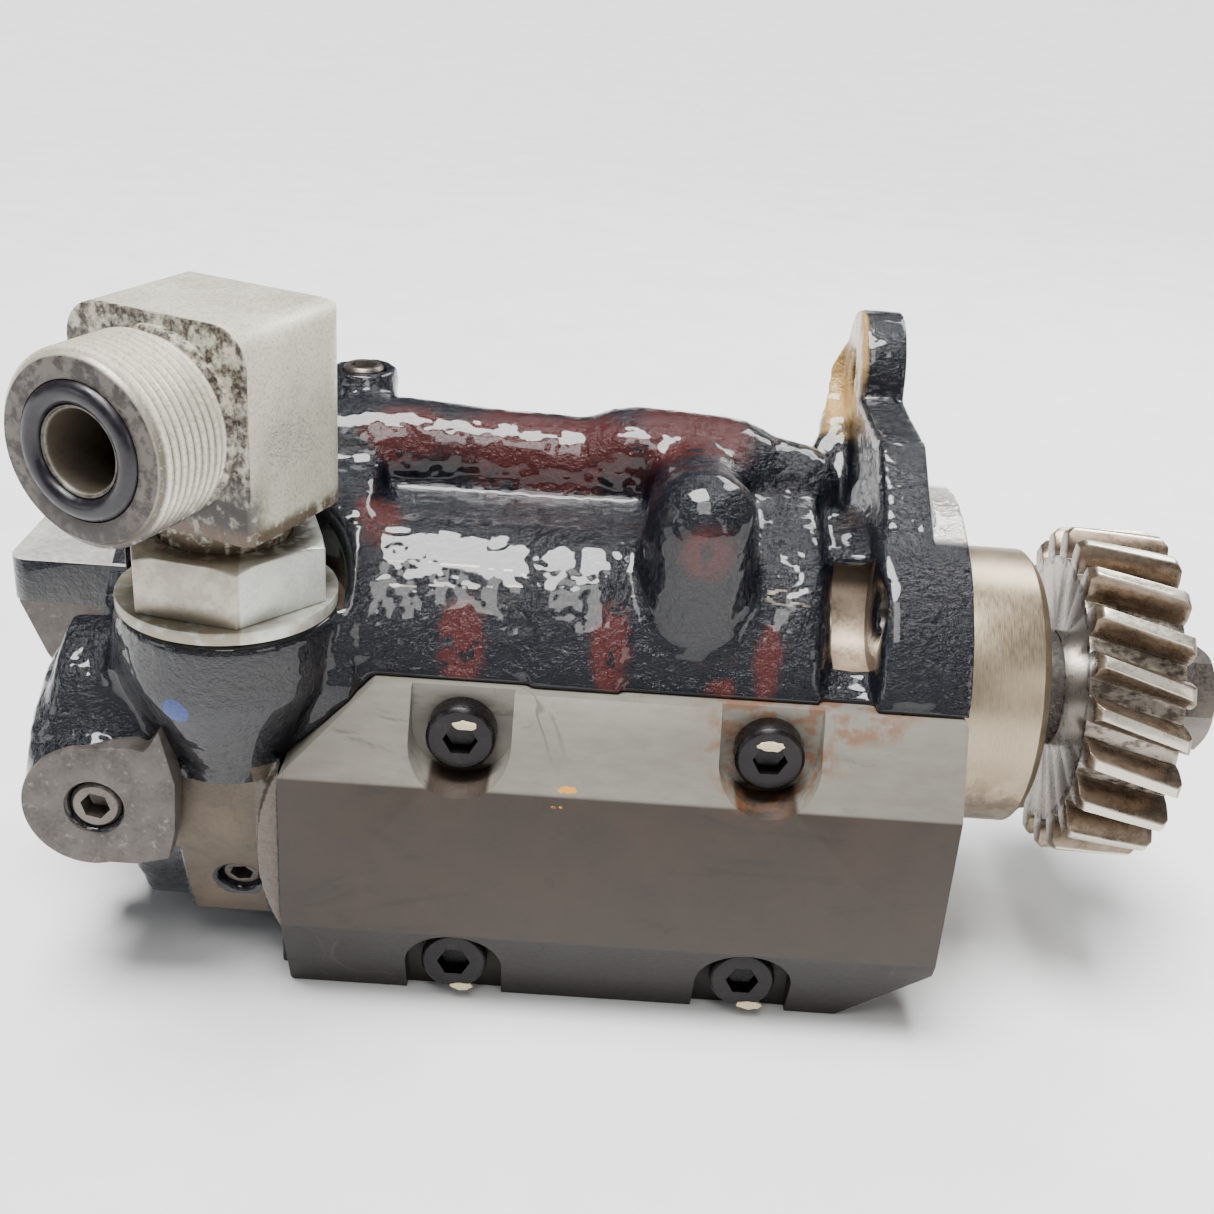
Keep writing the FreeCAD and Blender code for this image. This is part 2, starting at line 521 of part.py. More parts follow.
# Helical drive gear: outlines at stations along the face width, each turned a little further.
gr, gw = D["gear_rear"] + 0.05, D["gear_width"]
teeth = int(D["gear_teeth"])
mt = (2 * D["gear_tip"]) / (teeth + 2 * math.cos(math.radians(D["gear_helix"])))
gpts, grp = tooth_points(teeth, mt, D["gear_tip"], D["gear_tip"] - 2.2 * mt * math.cos(math.radians(D["gear_helix"])), 0.08, math.radians(20), 0.0, 7)
groot = D["gear_tip"] - 2.2 * mt * math.cos(math.radians(D["gear_helix"]))
twist = gw * math.tan(math.radians(D["gear_helix"])) / grp
GEAR_PHASE = math.radians(6.0)
wires = [gear_wire(gr + gw * k / 3.0, GEAR_PHASE + twist * k / 3.0, teeth, gpts, groot) for k in range(4)]
rim = new("Part::Feature")
rim.Shape = Part.makeLoft(wires, True, False)
tip_cone = revolved([(gr - 1, 0), (gr - 1, "gear_tip-2.6"), (gr + 2.2, "gear_tip+0.6"), (gr + gw - 2.2, "gear_tip+0.6"), (gr + gw + 1, "gear_tip-2.6"), (gr + gw + 1, 0)])
rim_cut = common(rim, tip_cone)
face_recess = revolved([(gr + gw - 3.0, 17.5), (gr + gw - 3.0, 29.5), (gr + gw - 2.0, 31.0), (gr + gw + 1, 31.0), (gr + gw + 1, 17.5)])
node("drive_gear", cut(rim_cut, cyl("x", "seat_rad", 20, 60, 0, 0), box("gear_rear-2", "gear_rear+gear_width+2", -3.02, 3.02, 0, "seat_rad+3.2"), face_recess))
node("drive_key", box("gear_rear+3.1", "gear_rear+18.9", -2.98, 2.98, "seat_rad-2.9", "seat_rad+2.9"))
wx = D["gear_rear"] + gw + 0.1
node("nut_washer", cut(cyl("x", 16, wx, wx + D["washer_thick"], 0, 0), cyl("x", 8.4, wx - 1, wx + 5, 0, 0)))
nx = wx + D["washer_thick"]
nut = padded("YZ_Plane", hexagon(D["nut_flats"], 55.0), "nut_height", FreeCAD.Placement(V(nx, 0, 0), FreeCAD.Rotation()))
nut_round = revolved([(nx - 1, 0), (nx - 1, 14.5), (nx + D["nut_height"] - 1.6, 14.5), (nx + D["nut_height"] + 0.1, 11.6), (nx + D["nut_height"] + 0.1, 0)])
node("drive_nut", cut(common(nut, nut_round), cyl("x", 7.95, nx - 1, nx + 20, 0, 0)))

# ---------------------------------------------------------------- side block
outline = [("block_left", "block_bottom"), ("block_left", "block_top-block_cut"), ("block_left+block_cut", "block_top"),
           ("block_right", "block_top"), ("block_right", "block_bottom+block_cut"), ("block_right-block_cut", "block_bottom")]
slab = rounded(prism_y(outline, "block_face", "block_back"), "y", 1.2)
section = prism_x([("block_back", "block_bottom"), ("block_edge", "block_bottom"), ("block_face", "block_bottom+23.9"), ("block_face", "block_top-20.2"),
                   ("block_edge", "block_top"), ("block_back", "block_top")], "block_left-1", "block_right+1")
pockets = []
for x in ("block_screw_xa", "block_screw_xb"):
    pockets += [cyl("y", "pocket_rad", -70, "pocket_floor", x, "block_screw_za"), box(x + "-pocket_rad", x + "+pocket_rad", -70, "pocket_floor", "block_screw_za", 20),
                cyl("y", "pocket_rad", -70, "pocket_floor", x, "block_screw_zb"), box(x + "-pocket_rad", x + "+pocket_rad", -70, "pocket_floor", -72, "block_screw_zb")]
    pockets += [cyl("y", 5.25, -50, -40, x, z) for z in ("block_screw_za", "block_screw_zb")]
relief = [cyl("x", "relief_bore", "block_left-1", -100, "relief_y", "relief_z"), cyl("x", 3.5, -101, -90, "relief_y", "relief_z"),
          cyl("y", 3, "relief_y", -40, -97, "relief_z"), cyl("y", 3, "relief_y", -40, -122, "relief_z")]
ring_seats = [cut(cyl("y", 7.6, "block_back-1.5", -40, x, "relief_z"), cyl("y", 4.8, -48, -38, x, "relief_z")) for x in (-97, -122)]
node("side_block", cut(common(slab, section), *(pockets + relief + ring_seats)))
node("block_port_seals", group(*[cut(cyl("y", 7.5, "block_back-1.4", "block_back-0.05", x, "relief_z"), cyl("y", 4.9, -48, -38, x, "relief_z")) for x in (-97, -122)]))
MY = FreeCAD.Rotation(V(0, 0, 1), 90)
node("block_screws", group(*[cap_screw(8, 6, 5, 24, 7, 4, FreeCAD.Placement(V(D[x], D["pocket_floor"], D[z]), MY))
                             for x in ("block_screw_xa", "block_screw_xb") for z in ("block_screw_za", "block_screw_zb")]))

# Relief valve inside the block: seat, poppet, spring and screwed adjuster, opening towards -X.
ry, rz = D["relief_y"], D["relief_z"]
RV = FreeCAD.Placement(V(0, ry, rz), FreeCAD.Rotation())
node("relief_seat", revolved([(-106, 2.6), (-106, "relief_bore-0.05"), (-100.05, "relief_bore-0.05"), (-100.05, 2.2), (-104.4, 2.2)], RV))
node("relief_poppet", revolved([(-104.25, 0), (-106.4, 2.95), (-107.4, "relief_bore-0.06"), (-112.2, "relief_bore-0.06"), (-112.2, 2.2), (-117, 2.2), (-117, 0)], RV))
helix_r, wire_r, turns, s0, s1 = 3.55, 0.6, 8.0, -139.2, -113.0
path = Part.makeHelix((s1 - s0) / turns, s1 - s0, helix_r)
prof = Part.Wire([Part.Circle(V(helix_r, 0, 0), V(0, 1, 0), wire_r).toShape()])
spring_shape = Part.Wire(path.Edges).makePipeShell([prof], True, True)
spring = new("Part::Feature")
spring.Shape = spring_shape
spring.Placement = FreeCAD.Placement(V(s0, ry, rz), RX)
node("relief_spring", spring)
adj = cut(revolved([(-154, 0), (-154, "relief_bore-0.06"), (-140, "relief_bore-0.06"), (-140, 2.2), (-134, 2.2), (-134, 0)], RV),
          padded("YZ_Plane", hexagon(5), 6, FreeCAD.Placement(V(-154, ry, rz), FreeCAD.Rotation())))
node("relief_adjuster", adj)

# ---------------------------------------------------------------- outlet elbow
# Local frame: X along the outlet, Z up the stem; turned and placed on the boss.
turn = FreeCAD.Rotation(V(0, 0, 1), -90 - D["elbow_turn"])
EL = FreeCAD.Placement(V(D["boss_x"], D["boss_y"], 0), turn)
za = D["elbow_axis"]
ELX = FreeCAD.Placement(V(0, 0, za), FreeCAD.Rotation())
side = rounded(box(-18.5, 45, -22.2, 22.2, 53.0, 99.0), "x", 8.2)
plan = rounded(box(-18.5, 45, -22.2, 22.2, 40.0, 110.0), "z", 10)
length = rounded(box(-18.5, 45, -30, 30, 53.0, 99.0), "y", 9)
floor_cut = box(-40, 60, -30, 30, 40, 61.5)
lower = rounded(box(-18.5, 20.6, -22.2, 22.2, 53.0, 75.0), "z", 3)
upper = common(common(common(side, plan), length), box(-30, 20.6, -30, 30, 50, 120))
forging = fuse(cut(upper, floor_cut), common(lower, cut(plan, box(20.6, 60, -40, 40, 30, 120))))
shoulder = revolved([(14, 0), (14, 20.2), (22.2, 20.2), (23.2, 18.6), (26, 18.6), (26, 0)], ELX)
p = D["thread_pitch"]
tr = D["thread_rad"]
prof_t = [(24.0, 0), (24.0, 18.6)]
x = D["elbow_reach"] - 2.4 - 7 * p
while x < D["elbow_reach"] - 1.9:
    prof_t += [(x - 0.5 * p + 0.02, tr - 1.25), (x - 0.14 * p, tr), (x + 0.14 * p, tr), (x + 0.5 * p - 0.02, tr - 1.25)]
    x += p
prof_t += [(D["elbow_reach"] - 1.2, tr - 1.1), (D["elbow_reach"], tr - 2.0), (D["elbow_reach"], 0)]
threaded = revolved(prof_t, ELX)
stem_t = [(6.0, 0), (6.0, 12.6), (10.5, 12.6), (10.5, 13.4), (12.0, "stud_rad-1.2")]
z = 13.0
prof_s = [(6.0, 0), (6.0, 13.8), (8.0, "stud_rad-1.2")]
while z < 25.0:
    prof_s += [(z - 0.5 * p + 0.02, D["stud_rad"] - 1.2), (z - 0.14 * p, D["stud_rad"]), (z + 0.14 * p, D["stud_rad"]), (z + 0.5 * p - 0.02, D["stud_rad"] - 1.2)]
    z += p
prof_s += [(26.5, 14.6), (47.5, 14.6), (47.5, 15.4), (51.5, 15.4), (53.5, 17.0), (54.5, 17.0), (54.5, 0)]
stud = revolved(prof_s, FreeCAD.Placement(V(0, 0, 0), FreeCAD.Rotation(V(0, 1, 0), -90)))
bores = [cyl("x", 8.4, 0, 60, 0, za), cyl("z", 8.4, 0, za, 0, 0), ball(8.4, 0, 0, za),
         cut(cyl("x", 14.4, D["elbow_reach"] - 3.2, 60, 0, za), cyl("x", 9.35, 20, 70, 0, za)),
         cone("x", 8.4, 9.0, D["elbow_reach"] - 1.0, D["elbow_reach"] + 0.1, 0, za)]
elbow = cut(fuse(forging, shoulder, threaded, stud), *bores)
elbow.Placement = EL
node("elbow_body", elbow)
face_seal = torus(11.88, 2.4, D["elbow_reach"] - 0.78, 0, za, RX)
seal_g = group(face_seal)
seal_g.Placement = EL
node("elbow_face_seal", seal_g)
hexring = padded("XY_Plane", hexagon(D["hex_flats"], 0.0), "hex_top-ring_top-0.1", FreeCAD.Placement(V(0, 0, D["ring_top"] + 0.1), FreeCAD.Rotation()))
hexdome = revolved([(29, 0), (29, 22.2), (30.6, 24.5), (D["hex_top"] - 1.7, 24.5), (D["hex_top"] + 0.1, 21.4), (D["hex_top"] + 0.1, 0)],
                   FreeCAD.Placement(V(0, 0, 0), FreeCAD.Rotation(V(0, 1, 0), -90)))
hexnut = cut(common(hexring, hexdome), cyl("z", 14.75, 20, 60, 0, 0))
hexnut.Placement = FreeCAD.Placement(V(D["boss_x"], D["boss_y"], 0), FreeCAD.Rotation(V(0, 0, 1), -72.0))
node("elbow_lock_nut", hexnut)
node("elbow_washer", cut(cyl("z", "ring_rad", "boss_top+0.02", "ring_top", "boss_x", "boss_y"), cyl("z", 16.7, 20, 40, "boss_x", "boss_y")))
node("elbow_port_seal", torus(18.3, 1.3, "boss_x", "boss_y", "boss_top-1.4"))

# ---------------------------------------------------------------- plugs


def socket_plug(r, flats, depth, height, place):
    """Set-screw type plug: outer face at x = 0, body towards +X."""
    b = revolved([(0, 0), (0, r - 0.8), (0.8, r), (height, r), (height, 0)])
    c = cut(b, padded("YZ_Plane", hexagon(flats, 12.0), depth, FreeCAD.Placement(V(-0.01, 0, 0), FreeCAD.Rotation())))
    c.Placement = place
    return c


node("lug_plug", socket_plug(5.85, 6, 5, 9, FreeCAD.Placement(V(D["lug_x"] + 1.5, D["lug_face"] + 0.9, D["lug_z"]), MY)))
down = FreeCAD.Rotation(V(1, 0, 0), plug2_dir * -1)
node("boss_plug", socket_plug(4.85, 5, 4.5, 8, FreeCAD.Placement(plug2_c - plug2_dir * 2.2, down)))
node("top_plug", socket_plug(5.15, 6, 5, 9, FreeCAD.Placement(V(-150, 24, 66.5), FreeCAD.Rotation(V(1, 0, 0), V(0, 0, -1)))))

# ---------------------------------------------------------------- check and write
doc.recompute()
bad = []
for o in doc.Objects:
    if "Invalid" in o.State or "Error" in o.State:
        bad.append("%s (%s) %s" % (o.Name, o.Label, o.State))
for label, o in NODES:
    if o.Shape.isNull() or not o.Shape.isValid():
        bad.append("shape of " + label)
    elif len(o.Shape.Solids) == 0:
        bad.append("no solid in " + label)
if not 1.40e6 < dict(NODES)["pump_housing"].Shape.Volume < 1.58e6:
    bad.append("pump_housing has lost or gained material")
if bad:
    raise RuntimeError("; ".join(bad))
os.makedirs("parts", exist_ok=True)
for label, o in NODES:
    bb = o.Shape.BoundBox
    print("%-22s solids %d  volume %10.1f  x %.1f..%.1f y %.1f..%.1f z %.1f..%.1f" % (label, len(o.Shape.Solids), o.Shape.Volume, bb.XMin, bb.XMax, bb.YMin, bb.YMax, bb.ZMin, bb.ZMax))
    o.Shape.exportStep("parts/%s.step" % label)
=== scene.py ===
import math

import bmesh
import bpy
import numpy as np
from mathutils import Matrix, Vector, noise


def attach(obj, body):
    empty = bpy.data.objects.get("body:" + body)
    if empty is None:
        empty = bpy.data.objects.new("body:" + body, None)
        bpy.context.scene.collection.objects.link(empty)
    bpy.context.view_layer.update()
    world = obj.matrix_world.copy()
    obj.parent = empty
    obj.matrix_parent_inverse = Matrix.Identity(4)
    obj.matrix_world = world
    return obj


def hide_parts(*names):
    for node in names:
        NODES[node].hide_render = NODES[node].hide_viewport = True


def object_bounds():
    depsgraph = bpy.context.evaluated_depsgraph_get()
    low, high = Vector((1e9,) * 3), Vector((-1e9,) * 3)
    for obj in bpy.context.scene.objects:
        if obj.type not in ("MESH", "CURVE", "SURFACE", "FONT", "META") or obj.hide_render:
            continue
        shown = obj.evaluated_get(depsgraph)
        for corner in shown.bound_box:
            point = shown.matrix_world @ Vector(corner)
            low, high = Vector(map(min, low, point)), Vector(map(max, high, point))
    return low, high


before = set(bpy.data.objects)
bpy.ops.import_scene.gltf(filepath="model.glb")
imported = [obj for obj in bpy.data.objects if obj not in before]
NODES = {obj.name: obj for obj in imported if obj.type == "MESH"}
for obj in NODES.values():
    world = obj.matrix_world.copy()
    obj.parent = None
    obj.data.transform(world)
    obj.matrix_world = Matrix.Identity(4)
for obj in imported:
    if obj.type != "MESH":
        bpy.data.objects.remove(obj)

CAD_BOX = [[float(c) for c in p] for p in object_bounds()]
COL = bpy.context.scene.collection
MM = 0.001

# ------------------------------------------------------------------ camera
cam_data = bpy.data.cameras.new("camera")
cam_data.sensor_width = 36.0
cam_data.lens = 36.0 * 1569.93 / 1214.0
cam_data.clip_start = 0.01
cam = bpy.data.objects.new("camera", cam_data)
COL.objects.link(cam)
fw = Vector((0.00948, 0.90524, -0.42483)).normalized()
up0 = Vector((-0.06828, 0.42444, 0.9029))
rt = fw.cross(up0).normalized()
up = rt.cross(fw).normalized()
rot = Matrix((rt, up, -fw)).transposed()
cam.matrix_world = Matrix.Translation(Vector((-0.08784, -0.36296, 0.18452))) @ rot.to_4x4()
bpy.context.scene.camera = cam

# ------------------------------------------------------------------ stage and lights
FLOOR = CAD_BOX[0][2] - 0.0003


def area(name, loc, aim, size, power, color=(1, 1, 1), size_y=None):
    d = bpy.data.lights.new(name, "AREA")
    d.shape = "RECTANGLE"
    d.size = size
    d.size_y = size_y or size
    d.energy = power
    d.color = color
    o = bpy.data.objects.new(name, d)
    COL.objects.link(o)
    o.location = loc
    o.rotation_euler = (Vector(aim) - Vector(loc)).to_track_quat("-Z", "Y").to_euler()
    return o


def sun(name, aim, strength, angle, color=(1, 1, 1)):
    d = bpy.data.lights.new(name, "SUN")
    d.energy = strength
    d.angle = math.radians(angle)
    d.color = color
    o = bpy.data.objects.new(name, d)
    COL.objects.link(o)
    o.rotation_euler = Vector(aim).to_track_quat("-Z", "Y").to_euler()
    return o


sun("overhead", (0.12, 0.10, -1.0), 7.5, 30)
area("key", (-0.10, -0.62, 0.95), (-0.09, -0.02, 0), 0.30, 3.6, (1, 0.99, 0.97), 0.45)
area("rim", (0.35, 0.55, 0.65), (-0.03, 0, 0.02), 0.35, 5.0)
area("fill", (0.65, -0.75, 0.42), (-0.02, 0, 0), 0.35, 1.3, (1.0, 0.97, 0.93))
area("left", (-0.95, -0.45, 0.35), (-0.12, 0, 0), 0.30, 1.0, (0.95, 0.97, 1.0))
world = bpy.data.worlds.new("studio")
world.use_nodes = True
world.node_tree.nodes["Background"].inputs["Color"].default_value = (0.93, 0.95, 1.0, 1)
world.node_tree.nodes["Background"].inputs["Strength"].default_value = 0.15
bpy.context.scene.world = world


# ------------------------------------------------------------------ node helpers
class Mat:
    """A small helper for procedural materials. Sockets are passed around; numbers and colours become defaults."""

    def __init__(self, name):
        self.m = bpy.data.materials.new(name)
        self.m.use_nodes = True
        self.t = self.m.node_tree
        self.t.nodes.clear()
        self.out = self.t.nodes.new("ShaderNodeOutputMaterial")
        self.b = self.t.nodes.new("ShaderNodeBsdfPrincipled")
        self.t.links.new(self.b.outputs[0], self.out.inputs[0])
        self.pos = self.t.nodes.new("ShaderNodeTexCoord").outputs["Object"]

    def put(self, sock, v):
        if isinstance(v, bpy.types.NodeSocket):
            self.t.links.new(v, sock)
        elif isinstance(v, (tuple, list)) and sock.type == "RGBA":
            sock.default_value = tuple(v) + ((1.0,) if len(v) == 3 else ())
        else:
            sock.default_value = v

    def set(self, **kw):
        for k, v in kw.items():
            self.put(self.b.inputs[k.replace("_", " ")], v)
        return self

    def noise(self, scale, detail=3.0, rough=0.55, distort=0.0, vec=None, stretch=None):
        n = self.t.nodes.new("ShaderNodeTexNoise")
        n.inputs["Scale"].default_value = scale
        n.inputs["Detail"].default_value = detail
        n.inputs["Roughness"].default_value = rough
        n.inputs["Distortion"].default_value = distort
        v = vec or self.pos
        if stretch:
            mp = self.t.nodes.new("ShaderNodeMapping")
            mp.inputs["Scale"].default_value = stretch
            self.t.links.new(v, mp.inputs["Vector"])
            v = mp.outputs[0]
        self.t.links.new(v, n.inputs["Vector"])
        return n.outputs["Fac"] if "Fac" in n.outputs else n.outputs[0]

    def voronoi(self, scale, feature="F1", rand=1.0, vec=None):
        n = self.t.nodes.new("ShaderNodeTexVoronoi")
        n.feature = feature
        n.inputs["Scale"].default_value = scale
        n.inputs["Randomness"].default_value = rand
        self.t.links.new(vec or self.pos, n.inputs["Vector"])
        return n.outputs["Distance"]

    def math(self, op, a, b=0.0, clamp=False):
        n = self.t.nodes.new("ShaderNodeMath")
        n.operation = op
        n.use_clamp = clamp
        self.put(n.inputs[0], a)
        self.put(n.inputs[1], b)
        return n.outputs[0]

    def ramp(self, v, lo, hi, a=0.0, b=1.0, smooth=True):
        n = self.t.nodes.new("ShaderNodeMapRange")
        n.interpolation_type = "SMOOTHSTEP" if smooth else "LINEAR"
        self.put(n.inputs["Value"], v)
        n.inputs["From Min"].default_value = lo
        n.inputs["From Max"].default_value = hi
        n.inputs["To Min"].default_value = a
        n.inputs["To Max"].default_value = b
        return n.outputs[0]

    def mix(self, f, a, b, blend="MIX"):
        n = self.t.nodes.new("ShaderNodeMix")
        n.data_type = "RGBA"
        n.blend_type = blend
        self.put(n.inputs[0], f)
        self.put(n.inputs[6], a)
        self.put(n.inputs[7], b)
        return n.outputs[2]

    def xyz(self):
        n = self.t.nodes.new("ShaderNodeSeparateXYZ")
        self.t.links.new(self.pos, n.inputs[0])
        return n.outputs

    def near(self, c, r, soft=0.3, wobble=0.0, wscale=300.0, stretch=(1, 1, 1)):
        """1 inside a ball about c (mm) of radius r (mm), with an irregular soft edge."""
        sub = self.t.nodes.new("ShaderNodeVectorMath")
        sub.operation = "SUBTRACT"
        self.t.links.new(self.pos, sub.inputs[0])
        sub.inputs[1].default_value = [v * MM for v in c]
        mul = self.t.nodes.new("ShaderNodeVectorMath")
        mul.operation = "MULTIPLY"
        self.t.links.new(sub.outputs[0], mul.inputs[0])
        mul.inputs[1].default_value = stretch
        ln = self.t.nodes.new("ShaderNodeVectorMath")
        ln.operation = "LENGTH"
        self.t.links.new(mul.outputs[0], ln.inputs[0])
        d = ln.outputs["Value"]
        if wobble:
            w = self.math("SUBTRACT", self.noise(wscale, 3), 0.5)
            d = self.math("ADD", d, self.math("MULTIPLY", w, wobble * MM * 2))
        return self.ramp(d, r * MM * (1 + soft), r * MM * (1 - soft))

    def bump(self, height, dist, strength=1.0, normal=None):
        n = self.t.nodes.new("ShaderNodeBump")
        n.inputs["Strength"].default_value = strength
        n.inputs["Distance"].default_value = dist
        self.t.links.new(height, n.inputs["Height"])
        if normal is not None:
            self.t.links.new(normal, n.inputs["Normal"])
        return n.outputs[0]

    def edge(self, lo=0.52, hi=0.62):
        """Convex edges, from the mesh's own shape."""
        g = self.t.nodes.new("ShaderNodeNewGeometry")
        return self.ramp(g.outputs["Pointiness"], lo, hi)

    def upness(self, lo=0.0, hi=1.0):
        g = self.t.nodes.new("ShaderNodeNewGeometry")
        s = self.t.nodes.new("ShaderNodeSeparateXYZ")
        self.t.links.new(g.outputs["Normal"], s.inputs[0])
        return self.ramp(s.outputs[2], lo, hi)


def slab(m, sock, lo, hi, soft=0.3):
    """1 where a coordinate socket (metres) lies between lo and hi (mm)."""
    return m.math("MULTIPLY", m.ramp(sock, (lo - soft) * MM, (lo + soft) * MM), m.ramp(sock, (hi - soft) * MM, (hi + soft) * MM, 1.0, 0.0))


def along(m, c, d):
    """Signed distance (metres) from the point c (mm) along the direction d."""
    sub = m.t.nodes.new("ShaderNodeVectorMath")
    sub.operation = "SUBTRACT"
    m.t.links.new(m.pos, sub.inputs[0])
    sub.inputs[1].default_value = [v * MM for v in c]
    dot = m.t.nodes.new("ShaderNodeVectorMath")
    dot.operation = "DOT_PRODUCT"
    m.t.links.new(sub.outputs[0], dot.inputs[0])
    dot.inputs[1].default_value = Vector(d).normalized()
    return dot.outputs["Value"]


def radius(m, c, d):
    """Distance (metres) from the line through c (mm) along d."""
    sub = m.t.nodes.new("ShaderNodeVectorMath")
    sub.operation = "SUBTRACT"
    m.t.links.new(m.pos, sub.inputs[0])
    sub.inputs[1].default_value = [v * MM for v in c]
    cr = m.t.nodes.new("ShaderNodeVectorMath")
    cr.operation = "CROSS_PRODUCT"
    m.t.links.new(sub.outputs[0], cr.inputs[0])
    cr.inputs[1].default_value = Vector(d).normalized()
    ln = m.t.nodes.new("ShaderNodeVectorMath")
    ln.operation = "LENGTH"
    m.t.links.new(cr.outputs[0], ln.inputs[0])
    return ln.outputs["Value"]


def inv(m, v):
    return m.math("SUBTRACT", 1.0, v)


def mul(m, *vals):
    out = vals[0]
    for v in vals[1:]:
        out = m.math("MULTIPLY", out, v)
    return out


def add(m, *vals):
    out = vals[0]
    for v in vals[1:]:
        out = m.math("MAXIMUM", out, v)
    return out


# ------------------------------------------------------------------ materials
def cast_paint():
    m = Mat("cast_paint")
    big = m.noise(28, 3)
    mid = m.noise(150, 4, 0.6)
    X, Y, Z = m.xyz()
    col = m.mix(m.ramp(big, 0.35, 0.7), (0.0012, 0.0018, 0.0055), (0.003, 0.0034, 0.006))
    col = m.mix(m.ramp(mid, 0.55, 0.78), col, (0.012, 0.009, 0.010))
    # dusty grey film with fine flecks
    dust = mul(m, m.ramp(m.noise(45, 4, 0.6), 0.5, 0.72), m.ramp(m.noise(1300, 3, 0.6), 0.5, 0.7))
    col = m.mix(mul(m, dust, 0.18), col, (0.07, 0.068, 0.072))
    # painted reflection: dark maroon patches standing in for reddish surroundings mirrored in the gloss
    red_reflection = add(m,
              m.near((-100, -2, 56), 15, 0.25, 7, 90, (0.6, 1.0, 1.3)),
              m.near((-136, 2, 57), 8, 0.25, 5, 110, (0.8, 1.0, 1.0)),
              m.near((-66, 6, 60), 13, 0.25, 4, 120, (0.9, 1, 1)),
              m.near((-117, -43, 25), 7.0, 0.25, 4, 180, (1.25, 1, 0.5)),
              m.near((-83, -43, 25), 7.0, 0.25, 4, 180, (1.5, 1, 0.42)),
              m.near((-63, -40, 48), 6.0, 0.35, 3, 200),
              m.near((-139, -20, 46), 8, 0.3, 5, 150, (1.6, 1, 0.5)),
              m.near((-47, -42, 22), 6.0, 0.35, 4, 200, (2.0, 1, 0.5)),
              m.near((-57, -44, 16), 3.2, 0.35, 3, 200, (1.0, 1, 1.2)))
    red_reflection = m.math("MULTIPLY", red_reflection, m.ramp(m.noise(120, 3, 0.55), 0.33, 0.42))
    col = m.mix(red_reflection, col, (0.050, 0.0065, 0.006))
    # ochre patch on the rear side of the flange ear: partly its bare tone, partly painted warm light on its lit far
    # part
    ear = m.near((-23, 66, 66), 17, 0.25, 6, 150, (0.8, 0.8, 0.8))
    col = m.mix(mul(m, ear, slab(m, X, -34, -18.6, 0.8)), col, (0.55, 0.34, 0.13))
    # thin wear on edges
    worn = m.math("MULTIPLY", m.edge(0.55, 0.64), m.ramp(m.noise(700, 3), 0.5, 0.65))
    col = m.mix(m.math("MULTIPLY", worn, 0.35), col, (0.12, 0.11, 0.10))
    # bare metal: front disc above the lobe
    bare = mul(m, slab(m, X, -8.2, 1.0, 0.25), m.ramp(Z, 0.0455, 0.0470))
    col = m.mix(bare, col, m.mix(m.noise(500, 4, 0.6), (0.42, 0.40, 0.37), (0.75, 0.73, 0.70)))
    # machined rim left of the block, same brown as the milled facets
    rim = mul(m, slab(m, X, -163.4, -156.0, 0.2), m.ramp(Y, -0.0425, -0.0440), slab(m, Z, -50, -7, 0.5))
    col = m.mix(rim, col, m.mix(m.noise(520, 4, 0.6), (0.06, 0.046, 0.032), (0.13, 0.098, 0.068)))
    # blue marking dab
    dab = m.near((-177.5, -61.5, 11.2), 3.3, 0.08, 0.5, 500)
    col = m.mix(dab, col, (0.0, 0.030, 0.19))
    rough = m.ramp(m.noise(300, 4, 0.6), 0.3, 0.75, 0.06, 0.2)
    rough = m.mix(add(m, dab, rim, mul(m, red_reflection, 0.3)), rough, (0.42, 0.42, 0.42))
    h = m.math("ADD", m.math("ADD", m.math("MULTIPLY", m.noise(420, 3, 0.6), 0.9), m.math("MULTIPLY", m.noise(1300, 3, 0.6), 0.35)), m.math("MULTIPLY", m.noise(3200, 2, 0.6), 0.12))
    n = m.bump(h, 0.0011, 1.0)
    m.set(Base_Color=col, Roughness=rough, Normal=n, Metallic=mul(m, bare, 0.75))
    m.b.inputs["Specular IOR Level"].default_value = 0.28
    m.b.inputs["Coat Weight"].default_value = 0.65
    m.b.inputs["Coat Roughness"].default_value = 0.05
    return m.m


def steel(name, base, dark, metallic=0.9, rough=(0.3, 0.5), grain=(1, 1, 1), gscale=900, dirt=(0.05, 0.035, 0.025), dirt_amount=0.5, bump_mm=0.03, blotch=60):
    m = Mat(name)
    g = m.noise(gscale, 4, 0.6, stretch=grain)
    b = m.noise(blotch, 5, 0.6)
    f = m.noise(gscale * 2.3, 2, 0.5)
    col = m.mix(m.ramp(b, 0.3, 0.72), dark, base)
    col = m.mix(m.math("MULTIPLY", m.ramp(g, 0.35, 0.7), 0.35), col, [c * 1.35 for c in base])
    d = m.math("MULTIPLY", m.ramp(m.noise(blotch * 3.1, 5, 0.65), 0.55, 0.8), dirt_amount)
    col = m.mix(d, col, dirt)
    r = m.ramp(m.math("ADD", m.math("MULTIPLY", g, 0.6), m.math("MULTIPLY", b, 0.4)), 0.3, 0.7, rough[0], rough[1])
    h = m.math("ADD", g, m.math("MULTIPLY", f, 0.5))
    n = m.bump(h, bump_mm * MM, 0.8)
    m.set(Base_Color=col, Roughness=r, Normal=n)
    m.b.inputs["Metallic"].default_value = metallic
    m.col, m.rough = col, r
    return m


def plain(name, col, col2, rough, metallic=0.0, scale=600, bump_mm=0.02, coat=0.0):
    m = Mat(name)
    g = m.noise(scale, 4, 0.6)
    c = m.mix(m.ramp(g, 0.35, 0.7), col, col2)
    m.set(Base_Color=c, Roughness=m.ramp(m.noise(scale * 0.4, 3), 0.3, 0.7, rough * 0.8, min(1.0, rough * 1.25)), Normal=m.bump(g, bump_mm * MM, 0.7))
    m.b.inputs["Metallic"].default_value = metallic
    m.b.inputs["Coat Weight"].default_value = coat
    return m.m


PAINT = cast_paint()


